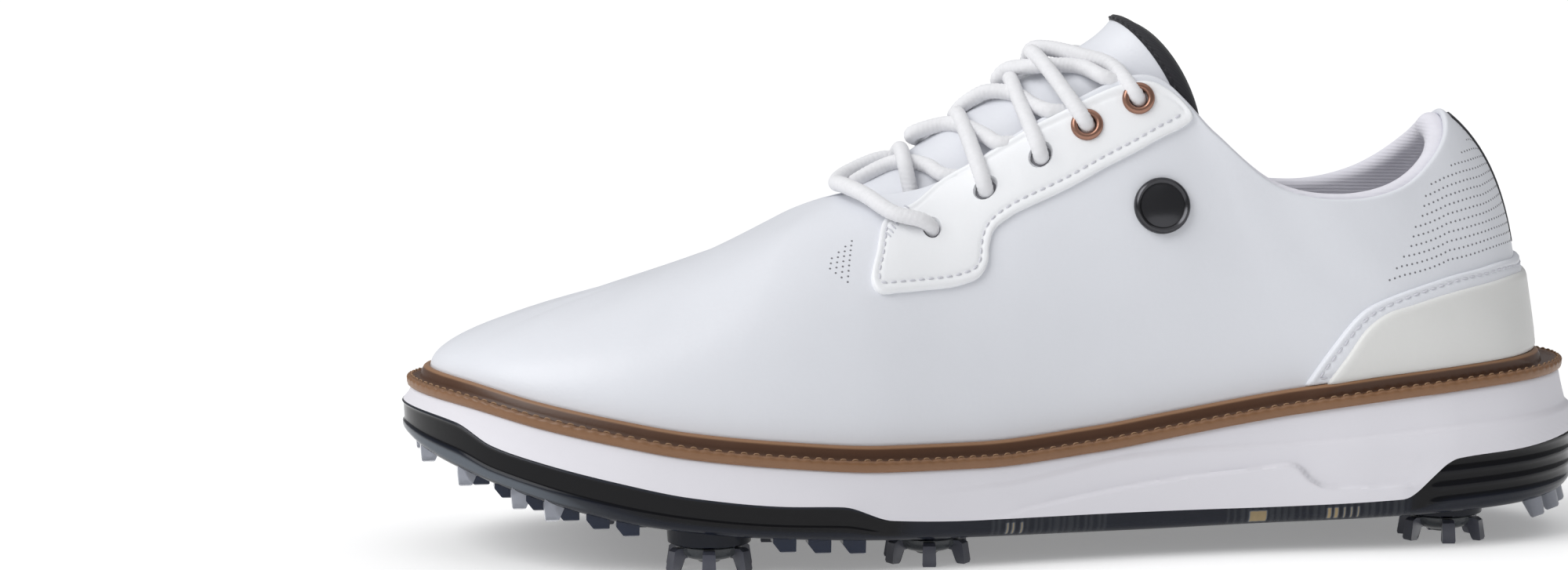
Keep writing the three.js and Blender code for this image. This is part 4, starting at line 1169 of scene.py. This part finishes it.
def resting(strand):
    """Lifts the points of a strand that would sink too deep into the tongue, except its last."""
    U, V = np.meshgrid(np.linspace(0, TONGUE_END, 120), np.linspace(-1, 1, 61), indexing="ij")
    face, out = tongue_face(U, V).reshape(-1, 3), tongue_normal(U, V).reshape(-1, 3)
    lifted = []
    for place in np.array(strand[:-1], float):
        nearest = np.argmin(np.linalg.norm(face - place, axis=1))
        height = (place - face[nearest]) @ out[nearest]
        lifted.append(place + out[nearest] * max(0, LACE_RADIUS - LACE_SINK - height))
    return lifted + [np.array(strand[-1], float)]


def rope(path, radius, pitch=1.25, ridge=.2, step=.4, sides=16):
    """A laid cord: a round tube whose surface carries slanted ribs."""
    path = through(path, step=step)
    run = np.arange(len(path)) * step
    angle = np.arange(sides) / sides * TAU
    phase = run[:, None] / pitch * math.pi + angle[None, :]
    ribs = np.abs(np.sin(phase)) ** .6
    slack = .04 * np.sin(run[:, None] / 17.0 + 1) + .03 * np.sin(run[:, None] / 7.3)
    return tube(path, radius - ridge + ridge * 1.4 * ribs + slack, sides=sides)


def add_lace():
    path = half_lace(False)[::-1] + START_BAR + half_lace(True)
    points, faces = rope(path, LACE_RADIUS)
    build("lace_cord", points, turned_out(points, faces), ROPE, slot="lace_cord",
          stands_for=["lace"], smooth_angle=180)


# ---- Sole ---------------------------------------------------------------------------

def tone(piece, values):
    """Keeps a 0 to 1 value per point, which the material turns into a colour."""
    attribute = piece.data.attributes.new("tone", "FLOAT", "POINT")
    attribute.data.foreach_set("value", np.asarray(values, np.float32).ravel())


def ring_run(s):
    """Distance run along the welt's edge at each place of an even ring."""
    here, _ = plan_edge(s)
    steps = np.linalg.norm(np.roll(here, -1, 0) - here, axis=1)
    return np.concatenate([[0], np.cumsum(steps)[:-1]]), steps.sum()


WELT_STITCH = 3.1
LIP_TOP = 2.9
COVERED = 1.5  # the bead lies this much farther out where the heel cover stands behind it
# The welt's section from the outside in: inset, rise, how far its teeth stand out there, how far
# they rise, and tone. The bead behind the lip leans on the upper, so its inset follows the upper.
WELT_SECTION = [
    (-.3, .1, 0, 0, 0), (.3, .5, 0, 0, 0), (.5, 1.2, 0, 0, 0), (.45, 1.9, .1, 0, .03),
    (.3, LIP_TOP - .5, .3, .3, .06), (-.1, LIP_TOP - .1, .3, .8, .1), (-.7, LIP_TOP, .1, .8, .15),
    (-1.5, LIP_TOP - .1, 0, .3, .45), (-2.2, LIP_TOP - .4, 0, 0, .5), (-2.6, LIP_TOP - .3, 0, 0, .5)]
BEAD_SECTION = [
    (2.7, LIP_TOP, 0), (2.5, 3.7, 0), (2.3, 4.5, 0), (2.05, 5.0, 0), (1.95, 5.25, .1),
    (1.75, 5.6, 1), (1.3, 6.0, 1), (.7, 6.1, 1), (.2, 5.9, .8), (-.1, 5.5, 0), (-.3, 5.2, 0)]


def add_welt():
    s = np.arange(AROUND * 40) / 40
    run, total = ring_run(s)
    count = round(total / WELT_STITCH)
    tooth = np.abs(np.sin(run / total * count * math.pi)) ** .7
    foot, covered = feather_inset(s), smooth(9.2, 10, station_of(s))
    rings, tones = [], []

    def lay(offset, rise, shade):
        place = sole_point(s, offset, 0 * s)
        place[:, 2] = WELT_Z(place[:, 0]) + rise
        rings.append(place)
        tones.append(np.full(len(s), shade))
    for offset, rise, push, lift, shade in WELT_SECTION:
        lay(offset + push * tooth, rise + .5 * lift * (tooth - .6), shade)
    for back, rise, shade in BEAD_SECTION:
        lay(np.minimum(-foot + back + COVERED * covered, -2.75), rise - .3 * smooth(12, 14, station_of(s)), .5 + shade / 2)
    lay(0 * s - 13, 4.9, .5)
    lay(0 * s - 13, .3, .5)
    points, faces = hoop(rings)
    piece = build("welt_strip", points, turned_out(points, faces), WELT_BROWN, slot="brown_welt",
                  stands_for=["welt"], smooth_angle=60)
    tone(piece, np.concatenate(tones))
    threads = Parts()
    for i in range(count):
        middle = (i + .5) / count * total
        a, b = (np.interp(middle + d, run, s) for d in (-.8, .8))
        ends = sole_point([a, b], [-.55, -.75], 0.)
        ends[:, 2] = WELT_Z(ends[:, 0]) + LIP_TOP + .2
        threads.add(*capsule(ends[0], ends[1], (0, 0, 1), .22))
    threads.build("welt_stitches", TAN_THREAD, slot="brown_welt")


def cup_height(s):
    here, _ = plan_edge(s)
    return np.where(is_lateral(s), CUP_LATERAL(here[:, 0]), CUP_MEDIAL(here[:, 0]))


MIDSOLE_LEDGE = curve([
    [-60, 10], [-12, 12.6], [1.9, 15.2], [33.7, 19.8], [60.8, 22.3], [67.5, 22.9], [70, 22.2],
    [72.8, 19.4], [76.5, 17.4], [81.3, 16.8], [99.7, 16.9], [112, 17.5]])
MIDSOLE_CREASE = curve([
    [-70, 18], [-10, 20.5], [31.8, 26.6], [74.5, 28.2], [108.6, 31], [155, 34]])


def midsole_relief(x, z):
    """How far the foam's side stands out, for its lower panel, its upper crease and its pattern."""
    ledge = MIDSOLE_LEDGE(x)
    lower = 1 - smooth(-.35, .35, z - ledge)
    crease = 1 - smooth(-.8, .8, z - MIDSOLE_CREASE(x))
    patterned = smooth(76, 82, x) * smooth(.6, 2, z - ledge) * (1 - smooth(-4.5, -2, z - MIDSOLE_CREASE(x)))
    ridges = np.sin((x * .55 + z) * TAU / 1.5) * patterned
    fades = smooth(-20, 10, x) * (1 - smooth(96, 104, x))
    return 1.4 * lower * fades + 1.0 * crease * smooth(-40, 30, x) + .09 * ridges


def add_midsole():
    s = np.arange(AROUND * 26) / 26
    here, _ = plan_edge(s)
    x = here[:, 0]
    cup, top = cup_height(s) + .1, WELT_Z(x) + .15
    flare = FLARE(x)
    rings = [sole_point(s, -9, SOLE_Z(x) + 6), sole_point(s, flare - 4.2, cup),
             sole_point(s, flare - .2, cup)]
    for f in np.linspace(0, 1, 44):
        z = cup + (top - cup) * f
        belly = -.35 * np.sin(np.pi * f) ** 1.0
        edge = np.sqrt(1 - np.clip((f - .93) / .07, 0, 1) ** 2 * .8) - 1
        offset = flare * (1 - f) - .5 * f + belly + midsole_relief(x, z) * np.sin(np.pi * min(f + .04, 1)) ** .3 \
            + edge * .7
        rings.append(sole_point(s, offset, z))
    rings.append(sole_point(s, -6, top))
    points, faces = loft(rings)
    build("midsole_foam_block", points, turned_out(points, faces), FOAM, slot="midsole_foam",
          stands_for=["midsole"], smooth_angle=60)


def outsole_relief(x, z, share, side):
    """Outward relief of the outsole's side and its tone: black, navy, smoke, a pale grey that is painted highlight
    and painted reflection, and amber.
    """
    heel = smooth(103, 108, x)
    ribs = np.abs(np.sin((z - .06 * x) * math.pi / 3.9)) ** 4 * heel * smooth(.12, .25, share)
    arch = smooth(-38, -30, x) * (1 - smooth(97, 102, x))
    fluted = np.maximum(np.sin(x * TAU / 64 + 1.2) > 0, x > 76)
    flutes = arch * np.sin(x * TAU / 1.9) * fluted
    fore = 1 - smooth(-44, -38, x)
    bead = np.exp(-((share - .97) / .03) ** 2) * fore
    bead = bead + np.exp(-((share - .42) / .035) ** 2) * fore * .7
    toe = 1 - smooth(-128, -92, x)
    flange = toe * (1 - smooth(.34, .5, share))
    relief = .55 * ribs + .14 * flutes + .35 * bead + .5 * flange
    navy = .33 * (1 - smooth(.22, .36, share)) * (1 - arch) + .06 * ribs
    smoky = arch * .62 * (.55 + .45 * (flutes > 0))
    amber = arch * (((x > 57.5) & (x < 62.2)) | ((x > -8) & (x < -3) & (flutes > .2))
                    | ((x > 78) & (x < 86) & (flutes > .1)))
    amber = amber * smooth(.1, .25, share) * (1 - smooth(.75, .9, share))
    # Painted highlight along the forefoot's top edge, and a painted reflection band low on the toe's wall.
    painted_highlight = np.maximum(np.exp(-((share - .985) / .02) ** 2) * fore, flange * smooth(.08, .2, share))
    shade = np.maximum(.75 * (navy + smoky), amber)
    return relief, shade + (.72 - shade) * np.clip(painted_highlight, 0, 1)


def add_outsole():
    s = np.arange(AROUND * 40) / 40
    here, _ = plan_edge(s)
    x = here[:, 0]
    cup, low, flare = cup_height(s), SOLE_Z(x), FLARE(x)
    rings = [sole_point(s, -13, low + .3), sole_point(s, -6, low + .05)]
    tones = [np.full(len(s), .25), np.full(len(s), .25)]
    for share in np.concatenate([np.linspace(0, .12, 5), np.linspace(.16, 1, 26)]):
        z = low + (cup - low) * share
        height = z - low
        turn = 1 - np.sqrt(1 - np.clip(1 - height / 3, 0, 1) ** 2)
        relief, shade = outsole_relief(x, z, share, s)
        offset = flare - 4.2 * turn - .5 * (1 - share) + relief * (1 - turn)
        rings.append(sole_point(s, offset, z))
        tones.append(shade)
    rings += [sole_point(s, flare - .6, cup + .25), sole_point(s, flare - 1.6, cup + .1),
              sole_point(s, flare - 2.2, cup - 1), sole_point(s, -5.5, low + 4)]
    tones += [np.full(len(s), .4), np.full(len(s), .2), np.zeros(len(s)), np.zeros(len(s))]
    points, faces = loft(rings)
    piece = build("outsole_shell", points, turned_out(points, faces), RUBBER, slot="black_outsole",
                  stands_for=["outsole"], smooth_angle=50)
    tone(piece, np.concatenate(tones))


CLEAT_NAMES = ["front_lateral", "front_medial", "middle_medial", "rear_lateral", "rear_medial",
               "heel_lateral", "heel_medial"]


def centre_of(node):
    low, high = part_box(node)
    middle = (np.array(low) + np.array(high)) / 2
    return (middle - ORIGIN)[:2] / MM


def add_bosses():
    """The raised rings round the sockets, under the outsole."""
    bosses = Parts()
    for name in CLEAT_NAMES:
        x, y = centre_of("receptacle_" + name)
        top = SOLE_Z(x) + 2.5
        section = [[7.3, 6.7], [9.6, 6.6], [10.4, 7.0], [10.8, top], [7.3, top]]
        points, faces = ring_of_section(section, 40)
        bosses.add(points + [x, y, 0], faces)
    piece = bosses.build("socket_rims", RUBBER, slot="black_outsole", smooth_angle=40)
    tone(piece, np.full(len(piece.data.vertices), .225))


def wedge(length, width, height, rake=.25, taper=.7):
    """A small tooth that points down from z = 0: length along X, width along Y."""
    l, w = length / 2, width / 2
    top = [[-l, -w, 1.2], [l, -w, 1.2], [l, w, 1.2], [-l, w, 1.2]]
    mid = [[x, y, -height * .3] for x, y, _ in top]
    shift = height * rake
    low = [[x * taper + shift, y * taper, -height * .93] for x, y, _ in top]
    tip = [[x * taper * .8 + shift, y * taper * .75, -height] for x, y, _ in top]
    points = np.array(top + mid + low + tip)
    faces = grid_faces(4, 4, wrap_columns=True) + [(0, 1, 2, 3), (12, 13, 14, 15)[::-1]]
    return points, turned_out(points, faces)


def turn_z(points, angle):
    c, s = math.cos(angle), math.sin(angle)
    return np.asarray(points) @ np.array([[c, s, 0], [-s, c, 0], [0, 0, 1]])


def add_lugs():
    """Fixed teeth of the outsole: along the forefoot's rim, under the arch and round the heel."""
    teeth = Parts()
    for x0, side in [(x, side) for side in (0, 1) for x in
                     (-141, -134, -126, -118.5, -111, -103.5, -64, -55, -46)]:
        s = np.interp(x0, *side_table(side))
        place = sole_point([s], [-4.5], SOLE_Z(x0) + .4)[0]
        shape, faces = wedge(5.8, 4.4, 3.7)
        teeth.add(shape + place, faces)
    teeth.build("forefoot_lugs", NAVY, slot="black_outsole", smooth_angle=35)
    cones = Parts()
    for s in (12.35, 12.85, 13.3, 13.68, 14, 14.32, 14.7, 15.15, 15.65):
        place = sole_point([s], [-2.2], 0)[0]
        _, out = plan_edge([s])
        place[2] = SOLE_Z(place[0]) + 1.2
        profile = [[0, -6.1], [1.5, -6.1], [1.9, -5.7], [2.9, 0], [3.1, 1.4], [0, 1.4]]
        points, faces = lathe(profile, 20)
        lean = unit(np.array([-out[0, 0] * .45, -out[0, 1] * .45, 1.]))
        cones.add(stand(points, place, lean, forward=(0, 1, 0)), faces)
    for side in (0, 1):
        for x0 in (-151, -142, -129, -121):
            s = np.interp(x0, *side_table(side))
            place = sole_point([s], [-2.4], SOLE_Z(x0) + .8)[0]
            shape, faces = wedge(4.8, 4.6, 4.6, rake=-.1)
            cones.add(shape + place, faces)
    cones.build("rim_lugs", FROST, slot="smoke_cleat", smooth_angle=35)


def side_table(side):
    """x of the welt's edge against the ring, for looking up a place by its x."""
    s = np.linspace(.6, LAST - .3, 200)
    if side:
        s = AROUND - s
    here, _ = plan_edge(s)
    return here[:, 0], s


def add_cleats():
    for name in CLEAT_NAMES:
        x, y = centre_of("cleat_" + name)
        hub = [[0, 1.7], [2.6, 1.9], [3.2, 2.4], [5.2, 2.9], [6.9, 3.5], [8.0, 4.3], [8.3, 5.2],
               [8.2, 6.1], [7.6, 6.3], [4.3, 6.3], [4.3, 11.5], [0, 11.5]]
        points, faces = lathe(hub, 48)
        piece = build("cleat_" + name + "_hub", points + [x, y, 0], turned_out(points, faces),
                      SMOKE, body="cleat_" + name, slot="smoke_cleat",
                      stands_for=["cleat_" + name], smooth_angle=40)
        legs = Parts()
        for i in range(6):
            profile = np.array([[5.4, 5.7], [9.6, 5.9], [10.7, 5.2], [11.4, .7], [11.2, .05],
                                [9.3, .05], [8.9, .6], [7.6, 3.3], [5.0, 3.7]])
            half = np.array([1.2, 1.5, 1.6, 1.75, 1.6, 1.5, 1.6, 1.3, 1.0])
            left = np.stack([profile[:, 0], -half, profile[:, 1]], -1)
            right = np.stack([profile[:, 0], half, profile[:, 1]], -1)
            count = len(profile)
            pts = np.concatenate([left, right])
            fcs = grid_faces(2, count, wrap_columns=True)
            fcs += [tuple(range(count)), tuple(range(count, 2 * count))[::-1]]
            legs.add(turn_z(pts, math.pi / 8 + i * TAU / 6), turned_out(pts, fcs))
        legs.points = (np.array(legs.points) + [x, y, 0]).tolist()
        legs.build("cleat_" + name + "_legs", WEDGE, body="cleat_" + name, slot="smoke_cleat",
                   smooth_angle=30)
        piece["legs"] = 6


def finish_hidden():
    """Procedural materials for the CAD nodes that stay in the shoe."""
    kinds = {"shank": "shank", "bottom_filler": "bottom_filler", "lasting_board": "lasting_board",
             "toe_puff": "stiffener", "heel_stiffener": "stiffener", "insole": "footbed",
             "aglet_lateral": "tip", "aglet_medial": "tip"}
    for name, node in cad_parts.items():
        if name in kinds:
            look = HIDDEN[kinds[name]]
        elif name.startswith("receptacle_"):
            look = HIDDEN["socket"]
        elif name == "vamp_lining":
            look = KNIT
        else:
            continue
        node.data.materials.clear()
        node.data.materials.append(look)


# ---- Studio -------------------------------------------------------------------------

def add_studio():
    mesh = bpy.data.meshes.new("floor")
    half = 6.0
    mesh.from_pydata([(-half, -half, 0), (half, -half, 0), (half, half, 0), (-half, half, 0)], [],
                     [(0, 1, 2, 3)])
    floor = bpy.data.objects.new("floor", mesh)
    floor.location.z = CAD_LOW.z
    look = finish("pale_floor", (.9, .9, .9), .8, spread=.005, cloud=2)
    glow = look.node_tree.nodes["Principled BSDF"].inputs
    glow["Emission Color"].default_value = (1, 1, 1, 1)
    glow["Emission Strength"].default_value = FLOOR_GLOW
    mesh.materials.append(look)
    bpy.context.scene.collection.objects.link(floor)
    world = bpy.data.worlds.new("studio")
    world.use_nodes = True
    tree = world.node_tree
    tree.nodes["Background"].inputs["Color"].default_value = (.97, .98, 1, 1)
    path = tree.nodes.new("ShaderNodeLightPath")
    range_node = tree.nodes.new("ShaderNodeMapRange")
    range_node.inputs["To Min"].default_value = WORLD_LIGHT
    range_node.inputs["To Max"].default_value = 1.05
    tree.links.new(path.outputs["Is Camera Ray"], range_node.inputs["Value"])
    tree.links.new(range_node.outputs[0], tree.nodes["Background"].inputs["Strength"])
    bpy.context.scene.world = world
    for name, place, angle, strength in LAMPS:
        light = bpy.data.lights.new(name, "SUN")
        light.angle = math.radians(angle)
        light.energy = strength
        lamp = bpy.data.objects.new(name, light)
        lamp.rotation_euler = (-Vector(place)).to_track_quat("-Z", "Y").to_euler()
        bpy.context.scene.collection.objects.link(lamp)
    scene = bpy.context.scene
    scene.view_settings.view_transform = "Standard"


WORLD_LIGHT, FLOOR_GLOW = .3, .26
# Soft lamps: the direction each shines from, its spread in degrees and its strength.
LAMPS = [("key", (-1.0, -.42, 1), 45, 1.72), ("top", (-.1, .1, 1), 90, .8)]
CAMERA_PLACE = (-202.3, -974.9, 175.5)
CAMERA_TURN, CAMERA_TILT, CAMERA_LENS = 8.5, 6.3, 88.2


def add_camera():
    data = bpy.data.cameras.new("camera")
    data.lens = CAMERA_LENS
    data.sensor_width = 36
    data.clip_start, data.clip_end = .01, 50
    camera = bpy.data.objects.new("camera", data)
    turn, tilt = math.radians(CAMERA_TURN), math.radians(CAMERA_TILT)
    ahead = Vector((math.sin(turn) * math.cos(tilt), math.cos(turn) * math.cos(tilt), -math.sin(tilt)))
    camera.rotation_euler = ahead.to_track_quat("-Z", "Y").to_euler()
    camera.location = np.array(CAMERA_PLACE) * MM + ORIGIN
    bpy.context.scene.collection.objects.link(camera)
    bpy.context.scene.camera = camera


add_upper()
add_lining()
add_eyestays()
add_heel()
add_perforations()
add_backstay()
add_badge()
add_tongue()
add_lace()
add_welt()
add_midsole()
add_outsole()
add_bosses()
add_lugs()
add_cleats()
finish_hidden()
add_studio()
add_camera()
